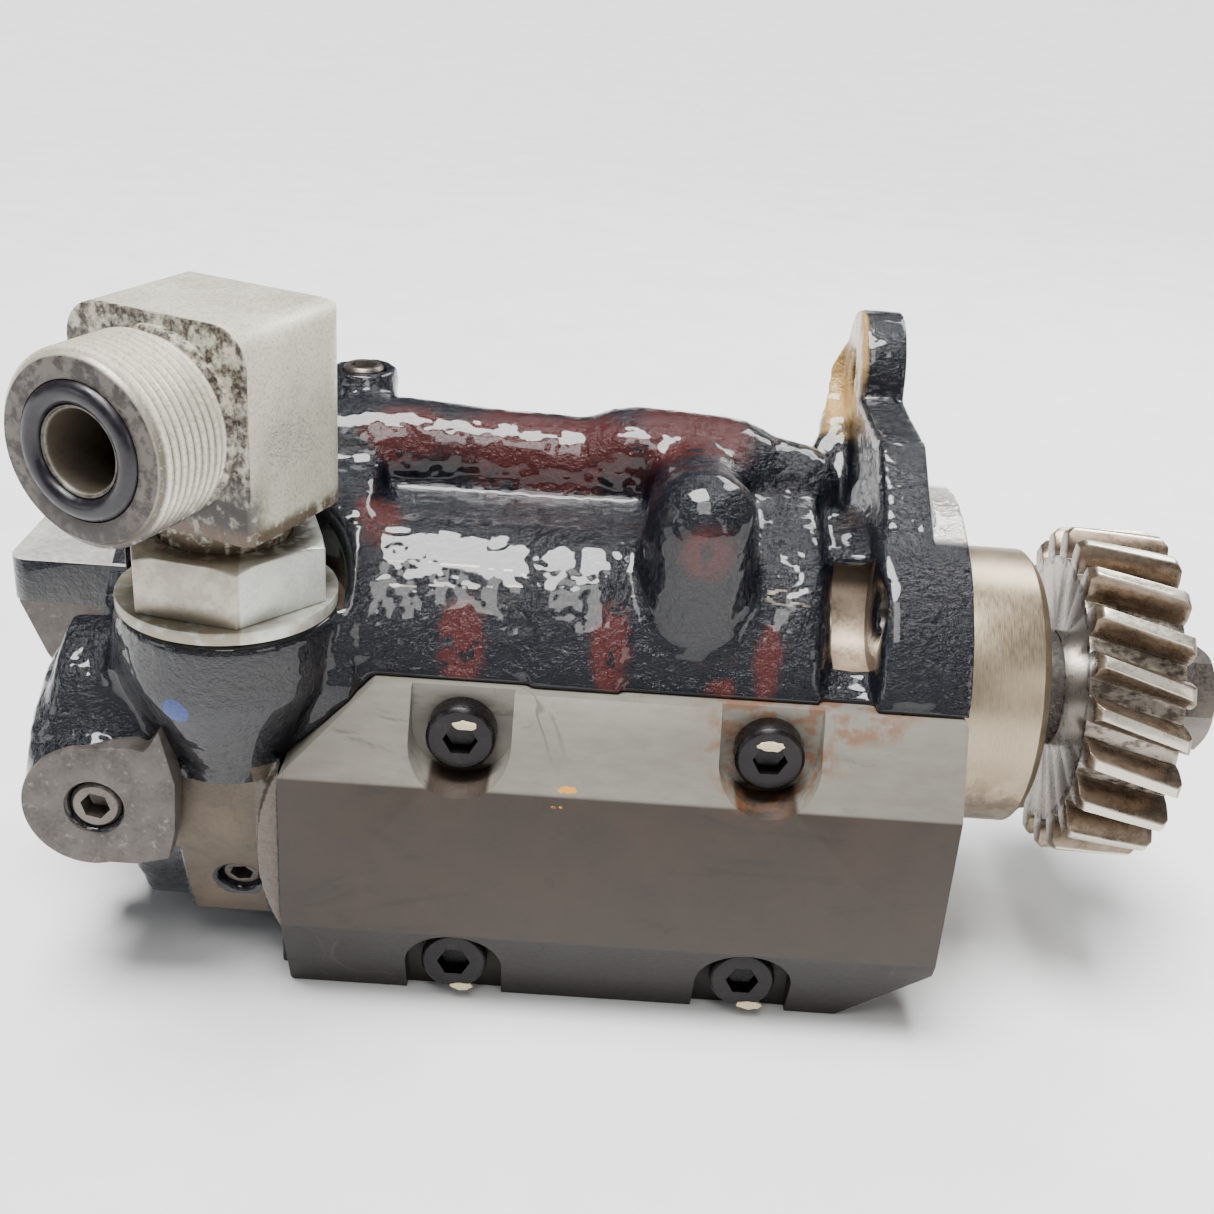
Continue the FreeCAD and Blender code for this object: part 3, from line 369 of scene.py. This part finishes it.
def block_steel():
    m = steel("block_steel", (0.040, 0.027, 0.0185), (0.023, 0.016, 0.011), 0.15, (0.46, 0.64), grain=(1, 1, 5), gscale=700, dirt=(0.022, 0.017, 0.013), dirt_amount=0.6, bump_mm=0.03)
    X, Y, Z = m.xyz()
    col = m.col
    # painted light on the upward-facing upper bevel, painted shade on the downward-facing lower one
    col = m.mix(mul(m, m.ramp(Z, -0.0065, -0.0055), 0.75), col, m.mix(m.noise(420, 4, 0.6, stretch=(0.35, 1, 1)), (0.17, 0.16, 0.13), (0.28, 0.265, 0.225)))
    col = m.mix(mul(m, m.ramp(Z, -0.0462, -0.0470), 0.9), col, (0.007, 0.005, 0.004))
    # dark dried oil in streaks and one meandering line
    streak = m.ramp(m.noise(34, 5, 0.7, 2.5, stretch=(0.5, 1, 1.6)), 0.56, 0.72)
    col = m.mix(mul(m, streak, 0.5), col, (0.014, 0.011, 0.008))
    line = m.math("ABSOLUTE", m.math("SUBTRACT", m.noise(55, 2, 0.5, 0.6, stretch=(1.2, 1, 0.35)), 0.5))
    col = m.mix(mul(m, m.ramp(line, 0.012, 0.003), m.ramp(m.noise(21, 2), 0.52, 0.6), 0.7), col, (0.03, 0.022, 0.018))
    rust = mul(m, add(m, m.near((-45, -50, 6), 15.5, 0.25, 4, 200), m.near((-37, -48, 13.5), 12, 0.3, 5, 200, (0.5, 1, 2))), m.ramp(m.noise(260, 4), 0.42, 0.62))
    col = m.mix(mul(m, rust, 0.7), col, (0.16, 0.06, 0.02))
    fleck = add(m, m.near((-90.7, -59, -4.5), 1.5, 0.1, 1.3, 900, (0.7, 1, 2.0)), m.near((-92.7, -59, -8.6), 1.0, 0.1, 1.0, 900, (0.7, 1, 1.6)))
    col = m.mix(fleck, col, (0.62, 0.26, 0.03))
    m.set(Base_Color=col)
    return m.m


ELC = (-170.9, -39.1, 76.5)
ELO = (-math.sin(math.radians(23.6)), -math.cos(math.radians(23.6)), 0.0)


def zinc_plate():
    m = steel("zinc_plate", (0.72, 0.695, 0.56), (0.56, 0.535, 0.42), 0.3, (0.34, 0.5), gscale=1400, dirt=(0.30, 0.27, 0.2), dirt_amount=0.35, bump_mm=0.05)
    X, Y, Z = m.xyz()
    col = m.col
    # sandy grain
    col = m.mix(mul(m, m.ramp(m.noise(1500, 2, 0.6), 0.52, 0.66), 0.55), col, (0.36, 0.33, 0.25))
    ax = along(m, ELC, ELO)
    rad = radius(m, ELC, ELO)
    n1 = m.noise(330, 4, 0.65)
    n2 = m.noise(900, 3, 0.6)
    above = m.ramp(Z, 0.0515, 0.0525)
    # front face soiled and darkened with painted shade, soiled end face, painted shade inside the outlet passage and
    # painted shade under the outlet
    front = mul(m, slab(m, ax, 19.9, 23.8, 0.25), m.ramp(rad, 0.0188, 0.0192), above)
    col = m.mix(mul(m, front, m.ramp(n1, 0.38, 0.58, 0.35, 1.0)), col, m.mix(m.ramp(n2, 0.4, 0.65), (0.028, 0.020, 0.016), (0.15, 0.125, 0.095)))
    end = mul(m, m.ramp(ax, 0.0428, 0.0436), above)
    col = m.mix(end, col, m.mix(m.ramp(n1, 0.42, 0.6), (0.10, 0.085, 0.07), (0.022, 0.016, 0.014)))
    bore_shade = mul(m, m.ramp(rad, 0.0089, 0.0086), m.ramp(ax, 0.0434, 0.0425), m.ramp(ax, -0.014, -0.011), above)
    col = m.mix(bore_shade, col, m.mix(m.ramp(n1, 0.5, 0.65), (0.0025, 0.002, 0.002), (0.018, 0.014, 0.010)))
    low = mul(m, m.ramp(Z, 0.0695, 0.0600), m.ramp(ax, 0.012, 0.021))
    col = m.mix(mul(m, low, m.ramp(n1, 0.3, 0.5, 0.5, 1.0)), col, (0.022, 0.016, 0.013))
    # painted shade in the thread valleys, stronger towards the bottom
    valley_shade = mul(m, slab(m, ax, 24, 43.2, 0.3), m.ramp(rad, 0.0203, 0.0195), m.ramp(n2, 0.2, 0.5, 0.55, 1.0), m.ramp(Z, 0.095, 0.078, 0.45, 1.0))
    col = m.mix(mul(m, valley_shade, 0.9), col, (0.075, 0.06, 0.042))
    # brown smear round the foot of the stem
    foot = mul(m, m.ramp(Z, 0.0575, 0.0545), m.ramp(n1, 0.35, 0.52))
    col = m.mix(mul(m, foot, 0.9), col, m.mix(n2, (0.03, 0.018, 0.01), (0.16, 0.10, 0.055)))
    # scuffed patch on the flat side
    scuff = mul(m, m.near((-153, -53.5, 72.7), 6.2, 0.3, 3, 300, (0.7, 0.7, 1.1)), m.ramp(m.noise(900, 3, 0.6, 2.0, stretch=(1, 1, 2.2)), 0.5, 0.62))
    col = m.mix(mul(m, scuff, 0.75), col, (0.16, 0.155, 0.14))
    m.set(Base_Color=col, Metallic=m.ramp(add(m, front, end, bore_shade, low), 0.0, 1.0, 0.35, 0.1))
    return m.m


def nut_plate():
    m = steel("nut_plate", (0.60, 0.62, 0.555), (0.44, 0.46, 0.42), 0.45, (0.3, 0.46), gscale=1200, dirt=(0.28, 0.24, 0.17), dirt_amount=0.45, bump_mm=0.03)
    X, Y, Z = m.xyz()
    col = m.col
    d = Vector((-0.985, -0.17, 0.0))
    side = m.ramp(along(m, (-162.8, -62.0, 38), d), -0.0004, 0.0004)
    n1 = m.noise(300, 4, 0.6)
    # painted shade: the left flank, turned away from the light, darker and browner
    flank = mul(m, side, m.ramp(Z, 0.0317, 0.0322))
    col = m.mix(mul(m, flank, 0.85), col, m.mix(m.ramp(n1, 0.35, 0.65), (0.30, 0.25, 0.20), (0.45, 0.40, 0.33)))
    lower = mul(m, m.ramp(Z, 0.0365, 0.0325), m.ramp(n1, 0.3, 0.5, 0.4, 1.0))
    col = m.mix(mul(m, lower, side, 0.7), col, (0.13, 0.10, 0.055))
    top = mul(m, m.ramp(radius(m, (-170.9, -39.1, 0), (0, 0, 1)), 0.0215, 0.0175), m.ramp(n1, 0.36, 0.52))
    col = m.mix(mul(m, top, 0.8), col, (0.08, 0.05, 0.03))
    ring = mul(m, m.ramp(Z, 0.0319, 0.0314), m.ramp(n1, 0.42, 0.6))
    col = m.mix(mul(m, ring, 0.5), col, (0.32, 0.25, 0.15))
    m.set(Base_Color=col)
    return m.m


def gear_steel():
    m = steel("gear_steel", (0.36, 0.32, 0.27), (0.22, 0.18, 0.14), 0.8, (0.22, 0.4), gscale=900, dirt=(0.10, 0.06, 0.035), dirt_amount=0.3, bump_mm=0.02)
    col = m.col
    rad = radius(m, (0, 0, 0), (1, 0, 0))
    n1 = m.noise(420, 4, 0.6, stretch=(0.5, 1, 1))
    flank = mul(m, m.ramp(rad, 0.0345, 0.0362), m.ramp(rad, 0.0417, 0.0413))
    col = m.mix(mul(m, flank, 0.75), col, m.mix(m.ramp(n1, 0.35, 0.65), (0.10, 0.062, 0.036), (0.23, 0.165, 0.11)))
    # painted shade in the gaps between the teeth
    root_shade = mul(m, m.ramp(rad, 0.0352, 0.0338), m.ramp(rad, 0.0318, 0.0325))
    col = m.mix(mul(m, root_shade, m.ramp(n1, 0.45, 0.6)), col, (0.045, 0.03, 0.022))
    land = m.ramp(rad, 0.0415, 0.0419)
    col = m.mix(mul(m, land, 0.8), col, (0.66, 0.61, 0.51))
    m.set(Base_Color=col)
    return m.m


def nose_steel():
    m = steel("turned_steel", (0.40, 0.325, 0.225), (0.27, 0.21, 0.14), 0.8, (0.26, 0.42), grain=(6, 0.5, 0.5), gscale=700, dirt=(0.22, 0.14, 0.08), dirt_amount=0.35, bump_mm=0.02)
    X, Y, Z = m.xyz()
    # painted shade: darker and browner towards the underside, broken up by noise
    col = m.mix(mul(m, m.ramp(Z, 0.004, -0.020), m.ramp(m.noise(120, 5, 0.65), 0.35, 0.62), 0.85), m.col, (0.10, 0.065, 0.04))
    m.set(Base_Color=col)
    return m.m


BLOCK = block_steel()
ZINC = zinc_plate()
NUT = nut_plate()
GEAR = gear_steel()
NOSE = nose_steel()
CREAM = plain("cream_dab", (0.62, 0.50, 0.30), (0.72, 0.62, 0.42), 0.55, 0.0, 1500, 0.05)
CASTBARE = steel("machined_iron", (0.12, 0.105, 0.095), (0.055, 0.046, 0.04), 0.4, (0.38, 0.6), gscale=1100, dirt=(0.34, 0.32, 0.30), dirt_amount=0.6, bump_mm=0.06, blotch=170).m
FACET = steel("milled_facet", (0.12, 0.09, 0.062), (0.065, 0.05, 0.036), 0.4, (0.35, 0.55), gscale=900, dirt=(0.04, 0.028, 0.02), dirt_amount=0.5, bump_mm=0.03, blotch=90).m
def spot_face():
    m = steel("spot_face", (0.42, 0.33, 0.24), (0.22, 0.16, 0.11), 0.5, (0.3, 0.5), gscale=900, dirt=(0.14, 0.09, 0.06), dirt_amount=0.4, bump_mm=0.03, blotch=120)
    X, Y, Z = m.xyz()
    # painted shade on the upper half of the spot-face, under its lip
    m.set(Base_Color=m.mix(mul(m, m.ramp(Z, 0.0285, 0.0335), 0.92), m.col, (0.012, 0.009, 0.008)))
    return m.m


TAN = spot_face()
PADTOP = steel("milled_iron", (0.72, 0.71, 0.68), (0.5, 0.49, 0.46), 0.5, (0.35, 0.5), gscale=800, dirt=(0.4, 0.37, 0.33), dirt_amount=0.2, bump_mm=0.015).m
OXIDE = steel("black_oxide", (0.014, 0.012, 0.013), (0.006, 0.005, 0.006), 0.6, (0.22, 0.42), gscale=1200, dirt=(0.10, 0.08, 0.06), dirt_amount=0.25, bump_mm=0.02).m
PLUG = steel("plug_steel", (0.16, 0.14, 0.12), (0.07, 0.06, 0.055), 0.8, (0.25, 0.45), gscale=1300, dirt=(0.03, 0.02, 0.018), dirt_amount=0.5, bump_mm=0.02).m
BRIGHT = steel("ground_steel", (0.6, 0.59, 0.57), (0.42, 0.41, 0.39), 0.95, (0.15, 0.3), gscale=900, dirt_amount=0.2, bump_mm=0.01).m
BRONZE = steel("bronze", (0.55, 0.33, 0.12), (0.34, 0.2, 0.08), 0.9, (0.25, 0.4), gscale=900, dirt_amount=0.3).m
ALLOY = steel("alloy", (0.6, 0.61, 0.62), (0.45, 0.45, 0.46), 0.85, (0.28, 0.42), gscale=900, dirt_amount=0.2).m
RUBBER = plain("seal_rubber", (0.004, 0.003, 0.005), (0.009, 0.007, 0.011), 0.33, 0.0, 900, 0.03, 0.0)
FLOORM = plain("floor_paper", (0.88, 0.88, 0.88), (0.91, 0.91, 0.91), 0.85, 0.0, 60, 0.05)

SLOTS = {"pump_housing": PAINT, "rear_cover": PAINT, "rear_cover_seal": RUBBER, "rear_cover_screws": OXIDE, "locating_dowels": BRIGHT,
         "rear_bearing_block": ALLOY, "front_bearing_block": ALLOY, "bearing_bushes": BRONZE, "bearing_outer_race": BRIGHT, "bearing_clip": PLUG,
         "shaft_seal": RUBBER, "side_block": BLOCK, "block_port_seals": RUBBER, "block_screws": OXIDE, "relief_seat": BRIGHT, "relief_spring": BRIGHT,
         "relief_adjuster": PLUG, "elbow_body": ZINC, "elbow_face_seal": RUBBER, "elbow_lock_nut": NUT, "elbow_washer": NUT, "elbow_port_seal": RUBBER,
         "lug_plug": PLUG, "boss_plug": PLUG, "top_plug": PLUG, "drive_shaft": BRIGHT, "bearing_inner_race": BRIGHT, "drive_gear": GEAR, "drive_key": PLUG,
         "nut_washer": BRIGHT, "drive_nut": PLUG, "driven_gear_shaft": BRIGHT, "bearing_balls": BRIGHT, "bearing_cage": BRONZE, "relief_poppet": BRIGHT}


def assign(o, mat):
    o.data.materials.clear()
    o.data.materials.append(mat)


for name, o in NODES.items():
    assign(o, SLOTS[name])

floor_me = bpy.data.meshes.new("floor")
s = 14.0
floor_me.from_pydata([(-s, -s, FLOOR), (s, -s, FLOOR), (s, s, FLOOR), (-s, s, FLOOR)], [], [(0, 1, 2, 3)])
floor = bpy.data.objects.new("floor", floor_me)
COL.objects.link(floor)
assign(floor, FLOORM)


# ------------------------------------------------------------------ mesh helpers
def link(name, me, mat, body="housing"):
    o = bpy.data.objects.new(name, me)
    COL.objects.link(o)
    assign(o, mat)
    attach(o, body)
    return o


def clean_copy(node, name):
    me = NODES[node].data.copy()
    me.name = name
    bm = bmesh.new()
    bm.from_mesh(me)
    bmesh.ops.remove_doubles(bm, verts=bm.verts, dist=2e-6)
    bm.to_mesh(me)
    bm.free()
    return me


def apply_mods(me, *mods):
    o = bpy.data.objects.new("tmp", me)
    COL.objects.link(o)
    for kind, props in mods:
        md = o.modifiers.new(kind, kind)
        for k, v in props.items():
            setattr(md, k, v)
    bpy.context.view_layer.update()
    dg = bpy.context.evaluated_depsgraph_get()
    out = bpy.data.meshes.new_from_object(o.evaluated_get(dg))
    bpy.data.objects.remove(o)
    return out


def smooth_angle(me, deg=30):
    bm = bmesh.new()
    bm.from_mesh(me)
    lim = math.radians(deg)
    for f in bm.faces:
        f.smooth = True
    for e in bm.edges:
        e.smooth = not (len(e.link_faces) == 2 and e.calc_face_angle(0.0) > lim) and len(e.link_faces) == 2
    bm.to_mesh(me)
    bm.free()


def bevelled(node, name, width, mat, body="housing", seg=2, angle=32):
    me = clean_copy(node, name)
    out = apply_mods(me, ("BEVEL", {"width": width * MM, "segments": seg, "limit_method": "ANGLE", "angle_limit": math.radians(angle), "use_clamp_overlap": True, "harden_normals": False}))
    smooth_angle(out, 40)
    o = link(name, out, mat, body)
    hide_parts(node)
    return o


def laplace(co, edges, weight, rounds, lam=0.6, mu=-0.62):
    n = len(co)
    a, b = edges[:, 0], edges[:, 1]
    deg = (np.bincount(a, minlength=n) + np.bincount(b, minlength=n)).astype(float)
    deg[deg == 0] = 1
    for r in range(rounds):
        avg = np.empty_like(co)
        for k in range(3):
            avg[:, k] = (np.bincount(a, co[b, k], n) + np.bincount(b, co[a, k], n)) / deg
        step = lam if (mu is None or r % 2 == 0) else mu
        co = co + (avg - co) * (step * weight)[:, None]
    return co


def vnoise(co, scale, seed):
    """Smooth value noise sampled on the vertices."""
    rng = np.random.default_rng(seed)
    p = co * scale
    i = np.floor(p).astype(np.int64)
    f = p - i
    f = f * f * (3 - 2 * f)
    out = np.zeros(len(co))
    table = rng.random(4096)

    def h(x, y, z):
        return table[(x * 73856093 ^ y * 19349663 ^ z * 83492791) & 4095]

    for dx in (0, 1):
        for dy in (0, 1):
            for dz in (0, 1):
                w = (f[:, 0] if dx else 1 - f[:, 0]) * (f[:, 1] if dy else 1 - f[:, 1]) * (f[:, 2] if dz else 1 - f[:, 2])
                out += w * h(i[:, 0] + dx, i[:, 1] + dy, i[:, 2] + dz)
    return out * 2 - 1


# ------------------------------------------------------------------ casting
def prism(pts, axis, lo, hi):
    """Closed prism mesh: outline in mm in the plane across the axis, from lo to hi along it."""
    order = {"x": lambda a, b, t: (t, a, b), "y": lambda a, b, t: (a, t, b), "z": lambda a, b, t: (a, b, t)}[axis]
    bm = bmesh.new()
    lower = [bm.verts.new([c * MM for c in order(a, b, lo)]) for a, b in pts]
    upper = [bm.verts.new([c * MM for c in order(a, b, hi)]) for a, b in pts]
    n = len(pts)
    bm.faces.new(lower)
    bm.faces.new(upper)
    for i in range(n):
        k = (i + 1) % n
        bm.faces.new((lower[i], lower[k], upper[k], upper[i]))
    bmesh.ops.recalc_face_normals(bm, faces=bm.faces)
    me = bpy.data.meshes.new("prism")
    bm.to_mesh(me)
    bm.free()
    return me


def ring_pts(a, b, r, n=128):
    return [(a + r * math.cos(2 * math.pi * k / n), b + r * math.sin(2 * math.pi * k / n)) for k in range(n)]


def carve(me, cutters):
    o = bpy.data.objects.new("tmp", me)
    COL.objects.link(o)
    tools = []
    for c in cutters:
        t = bpy.data.objects.new("cutter", c)
        COL.objects.link(t)
        md = o.modifiers.new("cut", "BOOLEAN")
        md.operation = "DIFFERENCE"
        md.solver = "MANIFOLD"
        md.object = t
        tools.append(t)
    bpy.context.view_layer.update()
    dg = bpy.context.evaluated_depsgraph_get()
    out = bpy.data.meshes.new_from_object(o.evaluated_get(dg))
    for t in tools + [o]:
        bpy.data.objects.remove(t)
    return out


def ball(co, c, r):
    return np.hypot(np.hypot(co[:, 0] / MM - c[0], co[:, 1] / MM - c[1]), co[:, 2] / MM - c[2]) < r


def build_casting():
    voxel = 0.0007
    me = clean_copy("pump_housing", "casting")
    rm = apply_mods(me, ("REMESH", {"mode": "VOXEL", "voxel_size": voxel, "adaptivity": 0.0}))
    n = len(rm.vertices)
    co = np.zeros(n * 3)
    rm.vertices.foreach_get("co", co)
    co = co.reshape(-1, 3)
    e = np.zeros(len(rm.edges) * 2, np.int64)
    rm.edges.foreach_get("vertices", e)
    e = e.reshape(-1, 2)
    x, y, z = co[:, 0] / MM, co[:, 1] / MM, co[:, 2] / MM
    r = np.hypot(y, z)
    # machined places keep their shape: nose, front flange face, block seat, rear seat, bores
    w = np.ones(n)
    w[(x > -24) & (z > 40)] = 0.35
    w[x > -1.0] = 0.0
    w[(x > -9) & (z > 44)] = 0.05
    w[(x > -6) & (r < 36)] = 0.0
    w[(x < -195.5) & (y > -27) & (y < 60)] = 0.0
    w[(y < -42.6) & (x > -164.5) & (z < 17)] = 0.06
    w[(y < -38) & (x < -156.5) & (z < -10)] = np.minimum(w, 0.25)[(y < -38) & (x < -156.5) & (z < -10)]
    w[(r < 21.5)] = 0.0
    rounds = int(round(24 * (0.001 / voxel) ** 2))
    sm = laplace(co, e, w, rounds, 0.6, None)
    rm.vertices.foreach_set("co", sm.reshape(-1))
    rm.update()
    nrm = np.zeros(n * 3)
    rm.vertices.foreach_get("normal", nrm)
    nrm = nrm.reshape(-1, 3)
    cast = np.where(w < 0.3, 0.0, np.maximum(w, 0.8))
    cast[(y < -59.3)] = 0.0
    cast[(np.hypot(x + 170.9, y + 39.1) < 27.5) & (z > 26.5)] = 0.0
    cast[(np.hypot(y + 29.5, z - 31.3) < 16) & (x > -32)] = 0.0
    # soften the change from cast to machined skin
    cast = laplace(np.repeat(cast[:, None], 3, 1), e, np.ones(n), 6, 0.6, None)[:, 0]
    d = (vnoise(sm, 170, 1) * 0.20 + vnoise(sm, 420, 2) * 0.17 + vnoise(sm, 60, 3) * 0.32 + vnoise(sm, 900, 4) * 0.07) * MM
    co3 = sm + nrm * (d * cast)[:, None]
    lo, hi = np.array(CAD_BOX[0]), np.array(CAD_BOX[1])
    co3 = np.clip(co3, lo, hi)
    rm.vertices.foreach_set("co", co3.reshape(-1))
    rm.update()
    out = carve(rm, [
        prism(ring_pts(-29.5, 31.3, 14.0), "x", -31.0, -21.6),
        prism(ring_pts(-29.5, 31.3, 5.5, 64), "x", -32.0, 1.0),
        prism(ring_pts(-170.9, -39.1, 26.5), "z", 28.3, 80.0),
        prism([(-51.8, -12.0), (-51.8, -31.0), (-42.3, -56.0), (-60, -72), (-78, -40), (-78, -12)], "x", -184.5, -163.2),
    ])
    k = len(out.polygons)
    c = np.zeros(k * 3)
    out.polygons.foreach_get("center", c)
    c = c.reshape(-1, 3) / MM
    nn = np.zeros(k * 3)
    out.polygons.foreach_get("normal", nn)
    nn = nn.reshape(-1, 3)
    mi = np.zeros(k, np.int32)
    spot = np.hypot(c[:, 1] + 29.5, c[:, 2] - 31.3)
    mi[(np.abs(spot - 14.0) < 0.06) & (c[:, 0] > -31.0) & (c[:, 0] < -21.55) & (np.abs(nn[:, 0]) < 0.1)] = 1
    mi[(spot < 14.02) & (np.abs(c[:, 0] + 21.6) < 0.02)] = 2
    mi[(np.abs(spot - 5.5) < 0.06) & (np.abs(nn[:, 0]) < 0.1)] = 3
    q = (c[:, 0] < -163.0) & (c[:, 0] > -184.6)
    mi[q & (np.abs(c[:, 1] + 51.8) < 0.03) & (nn[:, 1] < -0.99)] = 2
    fl = np.hypot(25.0, 9.5)
    mi[q & (np.abs((c[:, 1] + 51.8) * 25.0 + (c[:, 2] + 31.0) * 9.5) / fl < 0.03) & (nn[:, 1] < -0.8) & (c[:, 2] < -30.9)] = 2
    mi[(np.hypot(c[:, 0] + 170.9, c[:, 1] + 39.1) < 26.6) & (np.abs(c[:, 2] - 28.3) < 0.03)] = 2
    out.name = "casting"
    smooth_angle(out, 32)
    o = link("casting", out, PAINT)
    for extra in (TAN, FACET, PLUG):
        out.materials.append(extra)
    out.polygons.foreach_set("material_index", mi)
    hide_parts("pump_housing")
    return o


casting = build_casting()


def lathe(name, prof, origin, axis, mat, body, steps=128, closed=True):
    """Surface of revolution from (axial, radius) points in mm."""
    axis = Vector(axis).normalized()
    u = axis.orthogonal().normalized()
    v = axis.cross(u)
    o = Vector(origin) * MM
    verts, faces = [], []
    k = len(prof)
    for s in range(steps):
        a = 2 * math.pi * s / steps
        d = u * math.cos(a) + v * math.sin(a)
        for t, r in prof:
            verts.append(o + axis * (t * MM) + d * (r * MM))
    for s in range(steps):
        s2 = (s + 1) % steps
        for i in range(k if closed else k - 1):
            j = (i + 1) % k
            faces.append((s * k + i, s2 * k + i, s2 * k + j, s * k + j))
    me = bpy.data.meshes.new(name)
    me.from_pydata(verts, [], faces)
    bm = bmesh.new()
    bm.from_mesh(me)
    bmesh.ops.recalc_face_normals(bm, faces=bm.faces)
    bm.to_mesh(me)
    bm.free()
    smooth_angle(me, 25)
    return link(name, me, mat, body)


def arc(c, r, a0, a1, n=24):
    return [(c[0] + r * math.cos(math.radians(a0 + (a1 - a0) * k / n)), c[1] + r * math.sin(math.radians(a0 + (a1 - a0) * k / n))) for k in range(n + 1)]


def plate(name, outline, origin, u, v, thick, mat, holes=(), bev=0.2, body="housing"):
    """Flat machined face: outline in mm in the (u, v) plane, thick going back from the face."""
    u, v = Vector(u).normalized(), Vector(v).normalized()
    n = u.cross(v)
    o = Vector(origin) * MM
    bm = bmesh.new()

    def loop(pts):
        vs = [bm.verts.new(o + u * (a * MM) + v * (b * MM)) for a, b in pts]
        return [bm.edges.new((vs[i], vs[(i + 1) % len(vs)])) for i in range(len(vs))]

    es = loop(outline)
    for c, r in holes:
        es += loop(arc(c, r, 0, 360, 40)[:-1])
    bmesh.ops.triangle_fill(bm, use_beauty=True, use_dissolve=False, edges=es)
    bmesh.ops.recalc_face_normals(bm, faces=bm.faces)
    bm.faces.ensure_lookup_table()
    if bm.faces[0].normal.dot(n) < 0:
        bmesh.ops.reverse_faces(bm, faces=bm.faces)
    res = bmesh.ops.extrude_face_region(bm, geom=list(bm.faces))
    back = [g for g in res["geom"] if isinstance(g, bmesh.types.BMVert)]
    bmesh.ops.translate(bm, verts=back, vec=-n * (thick * MM))
    bmesh.ops.recalc_face_normals(bm, faces=bm.faces)
    me = bpy.data.meshes.new(name)
    bm.to_mesh(me)
    bm.free()
    me = apply_mods(me, ("BEVEL", {"width": bev * MM, "segments": 2, "limit_method": "ANGLE", "angle_limit": math.radians(50)}))
    me.name = name
    smooth_angle(me, 35)
    return link(name, me, mat, body)


# nose: turned surface with its chamfer, over the casting
lathe("nose_skin", [(-1.0, 35.22), (20.4, 35.22), (20.8, 35.1), (22.7, 33.2), (22.98, 32.8), (22.98, 31.5), (22.6, 31.1), (8, 31.1), (8, 33), (-1.0, 34)], (0, 0, 0), (1, 0, 0), NOSE, "housing")
# lug face with its plug recess and the sharp run-out on its right
LX, LZ = -199.8, -17.2
ol = arc((0, 0), 15.2, 92, 286, 44) + [(10.0, -14.6), (18.0, -12.5), (19.8, -5.0), (20.4, 7.5), (18.6, 15.5), (17.3, 21.3), (15.0, 17.4), (13.4, 15.6), (10.8, 16.4)]
plate("lug_face", ol, (LX, -60.05, LZ), (1, 0, 0), (0, 0, 1), 6.0, CASTBARE, [((1.5, 0), 6.9)], 0.3)
# dried dabs of thread paste on the block screws
rng = np.random.default_rng(11)
for i, (dx, dz, rx, rz) in enumerate([(-114.7, 7.3, 2.8, 1.2), (-45.2, 7.2, 3.0, 1.3), (-113.6, -66.2, 2.7, 1.1), (-42.7, -66.2, 3.1, 1.2)]):
    pts = []
    for k in range(18):
        a = 2 * math.pi * k / 18
        g = 1 + 0.28 * (rng.random() - 0.5)
        pts.append((rx * g * math.cos(a), rz * g * math.sin(a)))
    plate("paste_dab_%d" % (i + 1), pts, (dx, -53.75, dz), (1, 0, 0), (0, 0, 1), 0.9, CREAM, (), 0.12)


def by_face(o, rules):
    """Give faces their own material by centre (mm) and normal."""
    me = o.data
    for mat, test in rules:
        me.materials.append(mat)
        idx = len(me.materials) - 1
        for p in me.polygons:
            if test(p.center / MM, p.normal):
                p.material_index = idx


bevelled("side_block", "side_block_skin", 0.35, BLOCK)
bevelled("elbow_body", "elbow_skin", 0.25, ZINC)
bevelled("elbow_lock_nut", "lock_nut_skin", 0.3, NUT)
bevelled("elbow_washer", "washer_skin", 0.3, NUT)
bevelled("drive_gear", "drive_gear_skin", 0.15, GEAR, "drive_train")
bevelled("drive_nut", "drive_nut_skin", 0.35, PLUG, "drive_train")
bevelled("nut_washer", "nut_washer_skin", 0.25, BRIGHT, "drive_train")
bevelled("drive_shaft", "drive_shaft_skin", 0.12, BRIGHT, "drive_train")
bevelled("block_screws", "block_screws_skin", 0.3, OXIDE)
bevelled("rear_cover_screws", "rear_cover_screws_skin", 0.3, OXIDE)
for plug in ("lug_plug", "boss_plug", "top_plug", "relief_adjuster"):
    bevelled(plug, plug + "_skin", 0.2, PLUG)
cover = bevelled("rear_cover", "rear_cover_skin", 0.6, PAINT)
by_face(cover, [(PADTOP, lambda c, n: n.z > 0.9 and c.z > 25.2), (CASTBARE, lambda c, n: c.z < 14.2 and c.x < -205 and abs(n.y) > 0.5)])
